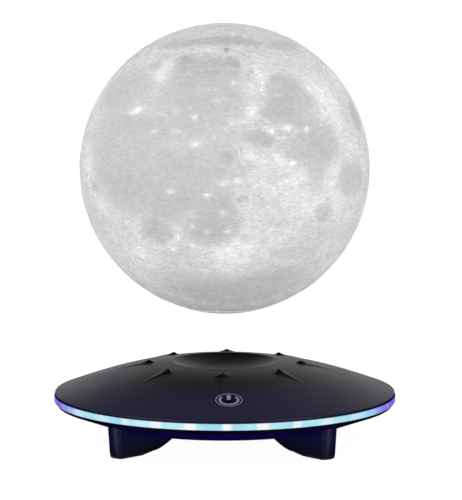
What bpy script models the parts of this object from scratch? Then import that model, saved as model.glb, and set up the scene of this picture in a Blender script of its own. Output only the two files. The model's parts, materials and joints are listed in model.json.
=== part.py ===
"""Levitating lamp: a moon globe that floats over a saucer-shaped magnetic base.

Metres, +Z up. The origin is on the table, under the middle of the lamp, and -Y is its front.
"""
import bmesh
import bpy
from math import acos, atan2, cos, degrees, pi, radians, sin, sqrt, tan
from mathutils import Matrix, Vector

# Whole lamp
GLOBE_DIAMETER = 0.150
BASE_DIAMETER = 0.1776
HOVER_GAP = 0.0251          # dish rim to the lowest point of the globe
FIT = 0.0003                # left between two pieces that touch
OVERRUN = 0.001             # how far a cut runs past a face
WELD = 1e-7

# Feet
FOOT_AZIMUTHS = (45, 135, 225, 315)
PAD_THICKNESS = 0.0012
PAD_INSET = 0.0006
LEG_HEIGHT = 0.0100
LEG_THICKNESS = 0.0095
LEG_OVERHANG = 0.0108       # of the end face beyond the floor's edge, where it meets the shell
LEG_END_DRAFT = 0.0012
LEG_SOLE_LENGTH = 0.0238
LEG_LENGTH = 0.0470
LEG_TIP_DEPTH = 0.0012
LEG_TOE_ROUND = 0.0014
LEG_CORNER_ROUND = 0.0032
LEG_BELLY_REACH = 0.0070    # how far the belly curve runs on along the sole and the tip
LEG_BELLY_SLOPE = 20.0      # of the belly at the tip, degrees
LEG_SCREW_INSET = 0.0080    # from the floor's edge
LEG_SCREW_DEPTH = 0.0060

# Lower shell
FLOOR_INSET = 0.0218        # floor's edge to the rim of the light ring
SHELL_WALL = 0.0022
FLARE_RISE = 0.0075         # from the floor's edge up to the lip
LIP_HEIGHT = 0.0013
LIP_STEP = 0.0015           # the light ring stands this far outside the lip
FLOOR_EDGE_ROUND = 0.0015
STRIP_WALL_INSET = 0.0058   # from the rim of the light ring
STRIP_WALL = 0.0015
STRIP_WALL_DROP = 0.0002    # below the top of the light ring

# Light ring and its lamps
BAND_HEIGHT = 0.0036
BAND_WALL = 0.0026
BAND_CHAMFER = 0.0004
SEAM = 0.0005               # shadow line between the ring and the cover
STRIP_THICKNESS = 0.0004
LED_COUNT = 32
LED_FIRST_AZIMUTH = -89.0
LED_WIDTH = 0.0028
LED_DEPTH = 0.0014

# Top cover
COVER_STEP = 0.0004         # the cover's lip stands this far inside the light ring
COVER_LIP_HEIGHT = 0.0006
DOME_RISE = 0.0143
DOME_TOP_STEP = 0.0037      # the dome ends this far outside the crest
DOME_EDGE_SLOPE = 20.0
DOME_TOP_SLOPE = 5.5
DOME_REACH = 0.0205         # length of the dome curve's end tangents
CREST_RADIUS = 0.0275
CREST_RISE = 0.0011         # above the inner end of the dome
CREST_ROUND = 0.0022
DISH_STEP = 0.0019          # the dish ends this far inside the crest
DISH_CURVE = 0.080
DISH_EDGE_DROP = 0.0007     # below the crest
COVER_WALL = 0.0022
BOSS_RADIUS = 0.0035
BOSS_INSET = 0.0090         # from the floor's edge
BOSS_AZIMUTHS = (20, 160, 200, 340)
BOSS_BITE = 0.0016          # how far a boss runs into the cover's wall

# Fins on the cover
FIN_COUNT = 8
FIN_TIP_GAP = 0.0056        # from the inner end of the dome
FIN_PEAK_RUN = 0.0026       # from the tip, as the next two
FIN_SHOULDER_RUN = 0.0040
FIN_LENGTH = 0.0195
FIN_HALF_WIDTH = 0.0049
FIN_HEIGHT = 0.0015
FIN_SINK = 0.0002           # the rim of a fin lies this far under the dome
FIN_ROOT = 0.0012

# Touch key
KEY_INSET = 0.0198          # from the rim of the light ring
KEY_AZIMUTH = -86.9
KEY_RADIUS = 0.0073
KEY_THICKNESS = 0.0008
SYMBOL_RISE = 0.00025
SYMBOL_RING_INSETS = (0.0009, 0.0002)
SYMBOL_ARC_INSETS = (0.0032, 0.0020)
SYMBOL_GAP = 46.0           # half of the arc's opening, degrees
SYMBOL_BAR_WIDTH = 0.0020
SYMBOL_BAR_INSET = 0.0015
SYMBOL_BAR_LENGTH = 0.0050
TOUCH_BOARD_INSET = 0.0008
BOARD_THICKNESS = 0.0016

# Magnet system in the base
TRAY_THICKNESS = 0.0020
TRAY_BOSS_GAP = 0.0040
TRAY_WALL = 0.0016
TRAY_WALL_HEIGHT = 0.0055
RING_MAGNET_INSET = 0.0058  # from the tray's edge
RING_MAGNET_BORE_SHARE = 0.6555
RING_MAGNET_HEIGHT = 0.0080
TRAY_SCREW_INSET = 0.0019
TRAY_SCREW_AZIMUTHS = (0, 180)
COIL_COUNT = 4
COIL_FIRST_AZIMUTH = 45
COIL_CIRCLE_SHARE = 0.5657  # of the pocket inside the ring magnet
COIL_RADIUS_SHARE = 0.2847
CORE_RADIUS = 0.0032
CORE_FLANGE = 0.0008
POWER_COIL_INSET = 0.0017   # from both edges of the ring magnet
POWER_COIL_HEIGHT = 0.0018
SENSOR_BOARD_RADIUS = 0.0130
SENSOR_SIZE = (0.0040, 0.0030, 0.0012)
SENSOR_CIRCLE = 0.0060
SENSOR_CLEARANCE = 0.0014   # under the dish
SENSOR_AZIMUTHS = (90, 210, 330)

# Control board
BOARD_INSET = 0.0015        # from the tray and from the floor's edge
BOARD_AZIMUTH = 90.0
BOARD_HALF_ANGLE = 32.0
BOARD_SCREW_ANGLES = (-28.0, 28.0)
BOARD_SCREW_INSET = 0.0080
CHOKE_RADIUS = 0.0048
CHOKE_HEIGHT = 0.0060
CHIP_SIZE = (0.0070, 0.0070, 0.0014)
PLUG_SIZE = (0.0090, 0.0045, 0.0055)
CAPACITOR_RADIUS = 0.0031
CAPACITOR_HEIGHT = 0.0090
REGULATOR_ANGLE = -18.0     # places on the board, degrees from its middle
CHOKE_ANGLE = -7.0
PROCESSOR_ANGLE = 6.0
CAPACITOR_ANGLE = 14.0
PLUG_ANGLE = 21.0

# Power inlet under the rear of the floor
JACK_WIDTH = 0.0090
JACK_LENGTH = 0.0130
JACK_HEIGHT = 0.0076
JACK_BORE_RADIUS = 0.0031
JACK_BORE_DEPTH = 0.0100
JACK_PIN_RADIUS = 0.0010
JACK_PIN_LENGTH = 0.0080
JACK_TAG = (0.0020, 0.0006)
JACK_TAG_PLACES = ((0.0, -0.0043), (-0.0022, 0.0), (0.0022, 0.0))
POD_INSET = 0.0010          # from the floor's edge
POD_WALL = 0.0014
POD_CORNER_ROUND = 0.0015
POD_CLEARANCE = 0.0015      # pod to table
PLUG_HOLE_RADIUS = 0.0033

# Screws
SCREW_HEAD_RADIUS = 0.0026
SCREW_HEAD_HEIGHT = 0.0009
SCREW_SHANK_RADIUS = 0.0014
SMALL_HEAD_RADIUS = 0.0016
SMALL_HEAD_HEIGHT = 0.0008
SMALL_SHANK_RADIUS = 0.0009
SMALL_SCREW_BITE = 0.0013
COVER_SCREW_LENGTH = 0.0120
COUNTERBORE_DEPTH = 0.0012
HEAD_RECESS = 0.0001

# Globe
GLOBE_WALL = 0.0015
NECK_CLEARANCE = 0.0004
CUP_WALL = 0.0021
CUP_FLOOR_HEIGHT = 0.0045   # lowest point of the globe to the cup's floor
MAGNET_RADIUS = 0.0180
MAGNET_HEIGHT = 0.0100
MAGNET_CHAMFER = 0.0006
MAGNET_CLEARANCE = 0.0005   # round the magnet in its cup
PICKUP_COIL_BORE = 0.0060
PICKUP_COIL_INSET = 0.0002  # from the magnet's edge
PICKUP_COIL_HEIGHT = 0.0012
LID_THICKNESS = 0.0025
LAMP_SCREW_INSET = 0.0086   # from the board's edge, as the lamps
LAMP_SCREW_AZIMUTHS = (0, 180)
LAMP_LED_COUNT = 8
LAMP_LED_INSET = 0.0046
LAMP_LED_SIZE = (0.0035, 0.0028, 0.0014)
LOCK_RING_WIDTH = 0.0066
LOCK_RING_HEIGHT = 0.0040
COLLAR_MARGIN = 0.0008      # the globe's flat collar runs this far past the lock ring

# Facets
BASE_FACETS = 56
GLOBE_FACETS = 40
ROUND_FACETS = 24
COIL_FACETS = 14
SCREW_FACETS = 8
DOME_STEPS = 7
DISH_STEPS = 3
UNDER_DOME_STEPS = 3
UNDER_DISH_STEPS = 2
ROUND_STEPS = 3
BELLY_STEPS = 7
BOARD_STEPS = 7
GLOBE_STEPS = 18
GLOBE_INNER_STEPS = 7
SHARP_ANGLE = 30.0

# Radii that follow from the sizes above
base_radius = BASE_DIAMETER / 2
lip_radius = base_radius - LIP_STEP
cover_radius = base_radius - COVER_STEP
strip_wall_radius = base_radius - STRIP_WALL_INSET
key_circle = base_radius - KEY_INSET
dome_top_radius = CREST_RADIUS + DOME_TOP_STEP
dish_radius = CREST_RADIUS - DISH_STEP
fin_tip = dome_top_radius + FIN_TIP_GAP
fin_peak = fin_tip + FIN_PEAK_RUN
fin_shoulder = fin_tip + FIN_SHOULDER_RUN
fin_tail = fin_tip + FIN_LENGTH
floor_radius = base_radius - FLOOR_INSET
leg_reach = floor_radius + LEG_OVERHANG
sole_start = leg_reach - LEG_SOLE_LENGTH
leg_tip = leg_reach - LEG_LENGTH
leg_screw_circle = floor_radius - LEG_SCREW_INSET
boss_circle = floor_radius - BOSS_INSET
pod_end = floor_radius - POD_INSET
tray_radius = boss_circle - BOSS_RADIUS - TRAY_BOSS_GAP
tray_screw_circle = tray_radius - TRAY_SCREW_INSET
ring_magnet_radius = tray_radius - RING_MAGNET_INSET
ring_magnet_bore = ring_magnet_radius * RING_MAGNET_BORE_SHARE
power_coil_radius = ring_magnet_radius - POWER_COIL_INSET
power_coil_bore = ring_magnet_bore + POWER_COIL_INSET
coil_pocket = ring_magnet_bore - FIT - TRAY_WALL
coil_circle = coil_pocket * COIL_CIRCLE_SHARE
coil_radius = coil_pocket * COIL_RADIUS_SHARE
board_inner = tray_radius + BOARD_INSET
board_outer = floor_radius - BOARD_INSET
board_screw_circle = floor_radius - BOARD_SCREW_INSET
cup_inner = MAGNET_RADIUS + MAGNET_CLEARANCE
cup_radius = cup_inner + CUP_WALL
neck_radius = cup_radius + NECK_CLEARANCE
pickup_coil_radius = MAGNET_RADIUS - PICKUP_COIL_INSET
lamp_screw_circle = cup_radius - LAMP_SCREW_INSET
lamp_led_circle = cup_radius - LAMP_LED_INSET

# Heights that follow
sole_level = PAD_THICKNESS + FIT
floor_level = sole_level + LEG_HEIGHT + FIT
floor_top = floor_level + SHELL_WALL
lip_level = floor_level + FLARE_RISE
lip_top = lip_level + LIP_HEIGHT
band_level = lip_top + FIT
band_top = band_level + BAND_HEIGHT
strip_wall_top = band_top - STRIP_WALL_DROP
cover_level = band_top + SEAM
dome_edge_level = cover_level + COVER_LIP_HEIGHT
dome_top_level = dome_edge_level + DOME_RISE
crest_level = dome_top_level + CREST_RISE
globe_radius = GLOBE_DIAMETER / 2
globe_level = crest_level + HOVER_GAP + globe_radius
tray_level = floor_top + FIT
tray_top = tray_level + TRAY_THICKNESS
core_level = tray_top + FIT
board_level = floor_top + FIT
board_top = board_level + BOARD_THICKNESS
ring_magnet_level = tray_top + FIT
power_coil_level = ring_magnet_level + RING_MAGNET_HEIGHT + FIT
jack_level = POD_CLEARANCE + POD_WALL + FIT
jack_mouth = pod_end - POD_WALL - FIT
cup_floor = CUP_FLOOR_HEIGHT - globe_radius
pickup_level = cup_floor + FIT
magnet_level = pickup_level + PICKUP_COIL_HEIGHT + FIT
lid_level = magnet_level + MAGNET_HEIGHT + FIT
cup_top = lid_level + LID_THICKNESS
lamp_board_level = cup_top + FIT


def on_circle(radius, azimuth):
    """The point at a radius and an azimuth in degrees, seen from above."""
    return radius * cos(radians(azimuth)), radius * sin(radians(azimuth))


def spaced(first, last, steps):
    """Evenly spaced values from first to last, both included."""
    return [first + (last - first) * step / steps for step in range(steps + 1)]


def bezier(start, start_pull, end_pull, end, steps):
    """Points along a cubic curve."""
    points = []
    for t in spaced(0.0, 1.0, steps):
        s = 1.0 - t
        shares = (s ** 3, 3 * s * s * t, 3 * s * t * t, t ** 3)
        corners = (start, start_pull, end_pull, end)
        points.append(tuple(sum(share * corner[axis] for share, corner in zip(shares, corners))
                            for axis in range(2)))
    return points


def arc(centre, radius, first, last, steps):
    """Points along a circular arc, angles in degrees."""
    return [(centre[0] + radius * cos(radians(angle)), centre[1] + radius * sin(radians(angle)))
            for angle in spaced(first, last, steps)]


def rounded(corners, steps=ROUND_STEPS, closed=False):
    """Replace each (x, y, radius) corner that has a radius by an arc that touches both its sides."""
    points = []
    count = len(corners)
    for index, (x, y, radius) in enumerate(corners):
        at_end = not closed and index in (0, count - 1)
        if radius == 0.0 or at_end:
            points.append((x, y))
            continue
        corner = Vector((x, y))
        before = (Vector(corners[index - 1][:2]) - corner).normalized()
        after = (Vector(corners[(index + 1) % count][:2]) - corner).normalized()
        half_angle = before.angle(after) / 2
        tangent = radius / tan(half_angle)
        centre = corner + (before + after).normalized() * radius / sin(half_angle)
        start = corner + before * tangent - centre
        turn = start.angle_signed(corner + after * tangent - centre)
        points += [tuple(centre + Matrix.Rotation(-turn * step / steps, 2) @ start)
                   for step in range(steps + 1)]
    return points


def turned(outline, facets):
    """Spin (radius, height) points about Z. An outline with both ends on the axis stays open there."""
    body = bmesh.new()
    verts = [body.verts.new((radius, 0.0, height)) for radius, height in outline]
    edges = [body.edges.new(pair) for pair in zip(verts, verts[1:])]
    if outline[0][0] > WELD:
        edges.append(body.edges.new((verts[-1], verts[0])))
    bmesh.ops.spin(body, geom=verts + edges, cent=(0, 0, 0), axis=(0, 0, 1),
                   angle=2 * pi, steps=facets, use_merge=True)
    bmesh.ops.remove_doubles(body, verts=body.verts, dist=WELD)
    bmesh.ops.recalc_face_normals(body, faces=body.faces)
    return body


def prism(outline, low, high):
    """Extrude a closed plan outline between two heights."""
    body = bmesh.new()
    face = body.faces.new([body.verts.new((x, y, low)) for x, y in outline])
    grown = bmesh.ops.extrude_face_region(body, geom=[face])
    top = [item for item in grown["geom"] if isinstance(item, bmesh.types.BMVert)]
    bmesh.ops.translate(body, verts=top, vec=(0, 0, high - low))
    bmesh.ops.recalc_face_normals(body, faces=body.faces)
    return body


def block(size, low):
    """A box centred on the Z axis that stands on a height."""
    half_x, half_y = size[0] / 2, size[1] / 2
    plan = [(-half_x, -half_y), (half_x, -half_y), (half_x, half_y), (-half_x, half_y)]
    return prism(plan, low, low + size[2])


def cylinder(radius, low, high, facets=ROUND_FACETS):
    return turned([(0.0, low), (radius, low), (radius, high), (0.0, high)], facets)


def tube(inner, outer, low, high, facets=ROUND_FACETS):
    return turned([(inner, low), (outer, low), (outer, high), (inner, high)], facets)


def sector(inner, outer, first, last, steps, low, high):
    """A flat piece of a ring between two azimuths."""
    plan = arc((0, 0), outer, first, last, steps) + arc((0, 0), inner, last, first, steps)
    return prism(plan, low, high)


def screw(head_radius, head_height, shank_radius, length):
    """A pan-head screw that points down, its head resting on height zero."""
    return turned([(0.0, head_height), (head_radius, head_height), (head_radius, 0.0),
                   (shank_radius, 0.0), (shank_radius, -length), (0.0, -length)], SCREW_FACETS)


def placed(body, place):
    bmesh.ops.transform(body, matrix=place, verts=body.verts)
    return body


def moved(body, x, y, z=0.0):
    return placed(body, Matrix.Translation((x, y, z)))


def turned_about_z(body, azimuth):
    return placed(body, Matrix.Rotation(radians(azimuth), 4, "Z"))


def joined(bodies):
    """Several closed bodies in one mesh, each kept whole."""
    whole = bmesh.new()
    for body in bodies:
        mesh = bpy.data.meshes.new("body")
        body.to_mesh(mesh)
        body.free()
        whole.from_mesh(mesh)
        bpy.data.meshes.remove(mesh)
    return whole


def material(name, color, roughness, metallic=0.0):
    skin = bpy.data.materials.new(name)
    skin.use_nodes = True
    shader = skin.node_tree.nodes["Principled BSDF"]
    shader.inputs["Base Color"].default_value = (*color, 1.0)
    shader.inputs["Roughness"].default_value = roughness
    shader.inputs["Metallic"].default_value = metallic
    return skin


def piece(name, body, skin, parent, location=(0, 0, 0), rotation=(0, 0, 0)):
    """One named object, shaded smooth between its sharp edges."""
    mesh = bpy.data.meshes.new(name)
    body.to_mesh(mesh)
    body.free()
    mesh.materials.append(skin)
    shade(mesh)
    return instance(name, mesh, parent, location, rotation)


def instance(name, mesh, parent, location=(0, 0, 0), rotation=(0, 0, 0)):
    made = bpy.data.objects.new(name, mesh)
    bpy.context.collection.objects.link(made)
    made.parent = parent
    made.location = location
    made.rotation_euler = rotation
    return made


def spread(name, body, places, height, skin, frame):
    """Numbered copies of one piece at several places, which share its mesh."""
    first = piece(name + "_1", body, skin, frame, (*places[0], height))
    for number, place in enumerate(places[1:], start=2):
        instance(f"{name}_{number}", first.data, frame, (*place, height))


def shade(mesh):
    mesh.shade_smooth()
    mesh.set_sharp_from_angle(angle=radians(SHARP_ANGLE))


def combine(target, body, operation):
    """Cut a body out of a piece, or fuse it on, before the piece is placed."""
    tool_mesh = bpy.data.meshes.new("tool")
    body.to_mesh(tool_mesh)
    body.free()
    tool = instance("tool", tool_mesh, None)
    frame = target.parent
    target.parent = None
    modifier = target.modifiers.new("combine", "BOOLEAN")
    modifier.operation = operation
    modifier.solver = "EXACT"
    modifier.object = tool
    seen = target.evaluated_get(bpy.context.evaluated_depsgraph_get())
    mesh = bpy.data.meshes.new_from_object(seen)
    target.modifiers.clear()
    target.parent = frame
    bare = target.data
    target.data = mesh
    mesh.name = target.name
    for spare in (bare, tool_mesh):
        bpy.data.meshes.remove(spare)
    shade(mesh)


def empty(name, height):
    frame = bpy.data.objects.new(name, None)
    bpy.context.collection.objects.link(frame)
    frame.location.z = height
    return frame


# Dome of the cover

def dome_curve(steps):
    """The dome's outer line, from its edge up to its inner end."""
    edge_run = (DOME_REACH * cos(radians(DOME_EDGE_SLOPE)), DOME_REACH * sin(radians(DOME_EDGE_SLOPE)))
    top_run = (DOME_REACH * cos(radians(DOME_TOP_SLOPE)), DOME_REACH * sin(radians(DOME_TOP_SLOPE)))
    edge = (cover_radius, dome_edge_level)
    top = (dome_top_radius, dome_top_level)
    return bezier(edge, (edge[0] - edge_run[0], edge[1] + edge_run[1]),
                  (top[0] + top_run[0], top[1] - top_run[1]), top, steps)


def dome_at(radius):
    """Height and downward slope of the dome at a radius."""
    line = dome_curve(DOME_STEPS)
    for (outer, low), (inner, high) in zip(line, line[1:]):
        if inner <= radius:
            slope = (high - low) / (outer - inner)
            return low + (outer - radius) * slope, slope
    return line[-1][1], 0.0


def offset_line(line, distance):
    """A line moved to its own left by a distance."""
    moved_line = []
    for index, (x, y) in enumerate(line):
        before = Vector(line[max(index - 1, 0)])
        after = Vector(line[min(index + 1, len(line) - 1)])
        along = (after - before).normalized()
        moved_line.append((x - along.y * distance, y + along.x * distance))
    return moved_line


def above(line, level):
    """The part of a rising line above a level, cut off exactly there."""
    for index, (first, second) in enumerate(zip(line, line[1:])):
        if first[1] < level <= second[1]:
            share = (level - first[1]) / (second[1] - first[1])
            return [(first[0] + (second[0] - first[0]) * share, level)] + line[index + 1:]
    return line


def dish_drop(radius, curve):
    """How far a sphere's lowest point lies under its surface at a radius."""
    return curve - sqrt(curve * curve - radius * radius)


dish_floor = crest_level - DISH_EDGE_DROP - dish_drop(dish_radius, DISH_CURVE)
sensor_top = dish_floor - COVER_WALL - SENSOR_CLEARANCE
sensor_board_level = sensor_top - SENSOR_SIZE[2] - BOARD_THICKNESS
core_top = sensor_board_level - FIT


# Top cover

def cover_outline():
    """Underside from the axis outwards, round the lip, then back over the dome, crest and dish."""
    under_curve = DISH_CURVE + COVER_WALL
    under_dish = [(radius, dish_floor - COVER_WALL + dish_drop(radius, under_curve))
                  for radius in spaced(0.0, dish_radius, UNDER_DISH_STEPS)]
    dish = [(radius, dish_floor + dish_drop(radius, DISH_CURVE))
            for radius in spaced(0.0, dish_radius, DISH_STEPS)]
    dome = dome_curve(DOME_STEPS)
    under_dome = above(offset_line(dome_curve(UNDER_DOME_STEPS), COVER_WALL), cover_level)
    crest = rounded([(*dome[-1], 0.0), (CREST_RADIUS, crest_level, CREST_ROUND), (*dish[-1], 0.0)])
    return (under_dish + under_dome[::-1] + [(cover_radius, cover_level)]
            + dome[:-1] + crest[:-1] + dish[::-1])


def fin_body():
    """A thorn on the +X side of the dome: a sharp ridge between hollow flanks, blunt towards the dish."""
    across_shares = (-1.0, -0.5, 0.0, 0.5, 1.0)
    rise_shares = (0.0, 0.28, 1.0, 0.28, 0.0)
    neck = (fin_tip + fin_peak) / 2
    waist = (fin_shoulder + fin_tail) / 2
    body = bmesh.new()

    def point(radius, across_share, rise_share):
        widening = min((radius - fin_tip) / (fin_shoulder - fin_tip),
                       (fin_tail - radius) / (fin_tail - fin_shoulder))
        swelling = min((radius - fin_tip) / (fin_peak - fin_tip),
                       (fin_tail - radius) / (fin_tail - fin_peak))
        across = FIN_HALF_WIDTH * widening * across_share
        level = dome_at(sqrt(radius * radius + across * across))[0] - FIN_SINK
        return radius, across, level + (FIN_HEIGHT * swelling + FIN_SINK) * rise_share

    rows = [[body.verts.new(point(radius, *shares)) for shares in zip(across_shares, rise_shares)]
            for radius in (neck, fin_peak, fin_shoulder, waist)]
    tip = body.verts.new(point(fin_tip, 0.0, 0.0))
    tail = body.verts.new(point(fin_tail, 0.0, 0.0))
    for end, row in ((tip, rows[0]), (tail, rows[-1])):
        for pair in zip(row, row[1:]):
            body.faces.new((end, *pair))
    for row, following in zip(rows, rows[1:]):
        for (a, b), (c, d) in zip(zip(row, row[1:]), zip(following, following[1:])):
            body.faces.new((a, b, d, c))
    rim = [tip] + [row[0] for row in rows] + [tail] + [row[-1] for row in rows[::-1]]
    root = [body.verts.new(vert.co - Vector((0, 0, FIN_ROOT))) for vert in rim]
    for index in range(len(rim)):
        body.faces.new((rim[index - 1], rim[index], root[index], root[index - 1]))
    body.faces.new(root)
    bmesh.ops.recalc_face_normals(body, faces=body.faces)
    return body


def key_place(depth):
    """On the dome's face at the touch key, a depth under it; local -X runs up the slope."""
    height, slope = dome_at(key_circle)
    x, y = on_circle(key_circle, KEY_AZIMUTH)
    return (Matrix.Translation((x, y, height)) @ Matrix.Rotation(radians(KEY_AZIMUTH), 4, "Z")
            @ Matrix.Rotation(atan2(slope, 1.0), 4, "Y") @ Matrix.Translation((0, 0, -depth)))


def make_cover(frame, skin):
    cover = piece("top_cover", turned(cover_outline(), BASE_FACETS), skin, frame)
    fins = [turned_about_z(fin_body(), 360 * index / FIN_COUNT) for index in range(FIN_COUNT)]
    combine(cover, joined(fins), "UNION")
    boss_top = dome_at(boss_circle + BOSS_RADIUS)[0] - COVER_WALL + BOSS_BITE
    hole_top = floor_level + HEAD_RECESS + SCREW_HEAD_HEIGHT + COVER_SCREW_LENGTH + FIT
    bosses = []
    holes = []
    for azimuth in BOSS_AZIMUTHS:
        x, y = on_circle(boss_circle, azimuth)
        boss = cylinder(BOSS_RADIUS, floor_top + FIT, boss_top, COIL_FACETS)
        hole = cylinder(SCREW_SHANK_RADIUS + FIT, floor_top, hole_top, SCREW_FACETS)
        bosses.append(moved(boss, x, y))
        holes.append(moved(hole, x, y))
    combine(cover, joined(bosses), "UNION")
    pocket = cylinder(KEY_RADIUS + FIT, 0.0, KEY_THICKNESS + FIT + OVERRUN, ROUND_FACETS)
    holes.append(placed(pocket, key_place(KEY_THICKNESS + FIT)))
    combine(cover, joined(holes), "DIFFERENCE")
    return cover


def make_touch_key(frame, skin, board_skin):
    low = KEY_THICKNESS / 2
    high = KEY_THICKNESS + SYMBOL_RISE
    bar_middle = KEY_RADIUS - SYMBOL_BAR_INSET - SYMBOL_BAR_LENGTH / 2
    bar = block((SYMBOL_BAR_LENGTH, SYMBOL_BAR_WIDTH, high - low), low)
    ring_radii = [KEY_RADIUS - inset for inset in SYMBOL_RING_INSETS]
    arc_radii = [KEY_RADIUS - inset for inset in SYMBOL_ARC_INSETS]
    symbol = [tube(*ring_radii, low, high), moved(bar, -bar_middle, 0.0),
              sector(*arc_radii, SYMBOL_GAP - 180, 180 - SYMBOL_GAP, COIL_FACETS, low, high)]
    key = piece("touch_key", cylinder(KEY_RADIUS, 0.0, KEY_THICKNESS), skin, frame)
    combine(key, joined(symbol), "UNION")
    key.matrix_local = key_place(KEY_THICKNESS)
    board = piece("touch_board", cylinder(KEY_RADIUS - TOUCH_BOARD_INSET, 0.0, BOARD_THICKNESS,
                                        COIL_FACETS), board_skin, frame)
    board.matrix_local = key_place(COVER_WALL + FIT + BOARD_THICKNESS)


# Light ring

def make_light_ring(frame, ring_skin, strip_skin):
    inner = base_radius - BAND_WALL
    ring = [(inner, band_level), (base_radius - BAND_CHAMFER, band_level),
            (base_radius, band_level + BAND_CHAMFER), (base_radius, band_top - BAND_CHAMFER),
            (base_radius - BAND_CHAMFER, band_top), (inner, band_top)]
    piece("light_ring", turned(ring, BASE_FACETS), ring_skin, frame)
    facets = 2 * LED_COUNT
    half_facet = 180 / facets
    strip_inner = strip_wall_radius + FIT
    strip_outer = strip_inner + STRIP_THICKNESS
    strip = turned_about_z(tube(strip_inner, strip_outer, band_level, strip_wall_top, facets),
                           LED_FIRST_AZIMUTH - half_facet)
    strip = piece("led_strip", strip, strip_skin, frame)
    led_back = (strip_inner + strip_outer) / 2
    led_front = strip_outer + LED_DEPTH
    leds = []
    for index in range(LED_COUNT):
        led = block((led_front - led_back, LED_WIDTH, LED_WIDTH), (band_level + band_top - LED_WIDTH) / 2)
        led = moved(led, (led_front + led_back) / 2, 0.0)
        leds.append(turned_about_z(led, LED_FIRST_AZIMUTH + 360 * index / LED_COUNT))
    combine(strip, joined(leds), "UNION")


# Lower shell, its screws and the power inlet

def lower_shell_outline():
    flare = atan2(FLARE_RISE, lip_radius - floor_radius)
    rise = tan(flare)
    lift = SHELL_WALL / cos(flare)

    def inside(radius):
        return floor_level + lift + (radius - floor_radius) * rise

    ledge = floor_radius + (lip_top - floor_level - lift) / rise
    inner_floor = floor_radius + (SHELL_WALL - lift) / rise
    wall_inner = strip_wall_radius - STRIP_WALL
    return rounded([(0.0, floor_level, 0.0), (floor_radius, floor_level, FLOOR_EDGE_ROUND),
                    (lip_radius, lip_level, 0.0), (lip_radius, lip_top, 0.0), (ledge, lip_top, 0.0),
                    (strip_wall_radius, inside(strip_wall_radius), 0.0),
                    (strip_wall_radius, strip_wall_top, 0.0), (wall_inner, strip_wall_top, 0.0),
                    (wall_inner, inside(wall_inner), 0.0), (inner_floor, floor_top, 0.0),
                    (0.0, floor_top, 0.0)])


def along_y(body):
    """Lay a body that stands on Z down along +Y."""
    return placed(body, Matrix.Rotation(radians(-90), 4, "X"))


def make_lower_shell(frame, skin):
    shell = piece("bottom_shell", turned(lower_shell_outline(), BASE_FACETS), skin, frame)
    cavity_half = JACK_WIDTH / 2 + FIT
    cavity_rear = jack_mouth - JACK_LENGTH - FIT
    cavity_front = pod_end - POD_WALL
    pod_half = cavity_half + POD_WALL
    pod_rear = cavity_rear - POD_WALL
    pod_plan = rounded([(-pod_half, pod_rear, POD_CORNER_ROUND), (pod_half, pod_rear, POD_CORNER_ROUND),
                        (pod_half, pod_end, POD_CORNER_ROUND), (-pod_half, pod_end, POD_CORNER_ROUND)],
                       closed=True)
    combine(shell, prism(pod_plan, POD_CLEARANCE, floor_level + SHELL_WALL / 2), "UNION")
    cavity_plan = [(-cavity_half, cavity_rear), (cavity_half, cavity_rear),
                   (cavity_half, cavity_front), (-cavity_half, cavity_front)]
    cuts = [prism(cavity_plan, POD_CLEARANCE + POD_WALL, floor_top + OVERRUN)]
    head_hole = SCREW_HEAD_RADIUS + FIT
    shank_hole = SCREW_SHANK_RADIUS + FIT
    step = floor_level + COUNTERBORE_DEPTH
    for azimuth in BOSS_AZIMUTHS:
        cut = turned([(0.0, floor_level - OVERRUN), (head_hole, floor_level - OVERRUN),
                      (head_hole, step), (shank_hole, step),
                      (shank_hole, floor_top + OVERRUN), (0.0, floor_top + OVERRUN)], SCREW_FACETS)
        cuts.append(moved(cut, *on_circle(boss_circle, azimuth)))
    for azimuth in FOOT_AZIMUTHS:
        cut = cylinder(shank_hole, floor_level - OVERRUN, floor_top + OVERRUN, SCREW_FACETS)
        cuts.append(moved(cut, *on_circle(leg_screw_circle, azimuth)))
    pilot_low = floor_top - SMALL_SCREW_BITE - FIT
    for place in tray_screw_places() + board_screw_places():
        cut = cylinder(SMALL_SHANK_RADIUS + FIT, pilot_low, floor_top + OVERRUN, SCREW_FACETS)
        cuts.append(moved(cut, *place))
    combine(shell, joined(cuts), "DIFFERENCE")
    plug_hole = along_y(cylinder(PLUG_HOLE_RADIUS, cavity_front - OVERRUN, pod_end + OVERRUN,
                                 COIL_FACETS))
    combine(shell, moved(plug_hole, 0.0, 0.0, jack_level + JACK_HEIGHT / 2), "DIFFERENCE")


def tray_screw_places():
    return [on_circle(tray_screw_circle, azimuth) for azimuth in TRAY_SCREW_AZIMUTHS]


def board_screw_places():
    return [on_circle(board_screw_circle, BOARD_AZIMUTH + angle) for angle in BOARD_SCREW_ANGLES]


def make_jack(frame, skin):
    """A barrel inlet that faces the rear, with its tags up to the control board."""
    jack = piece("dc_jack", block((JACK_WIDTH, JACK_LENGTH, JACK_HEIGHT), 0.0), skin, frame)
    axis_height = JACK_HEIGHT / 2
    bore_end = JACK_LENGTH / 2 - JACK_BORE_DEPTH
    bore = along_y(cylinder(JACK_BORE_RADIUS, bore_end, JACK_LENGTH / 2 + OVERRUN, COIL_FACETS))
    combine(jack, moved(bore, 0.0, 0.0, axis_height), "DIFFERENCE")
    pin = along_y(cylinder(JACK_PIN_RADIUS, bore_end - OVERRUN, bore_end + JACK_PIN_LENGTH, SCREW_FACETS))
    tag_low = JACK_HEIGHT - OVERRUN
    tag_high = board_level - FIT - jack_level
    tags = [moved(block((*JACK_TAG, tag_high - tag_low), tag_low), x, y) for x, y in JACK_TAG_PLACES]
    combine(jack, joined([moved(pin, 0.0, 0.0, axis_height)] + tags), "UNION")
    jack.location = (0.0, jack_mouth - JACK_LENGTH / 2, jack_level)


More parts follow.
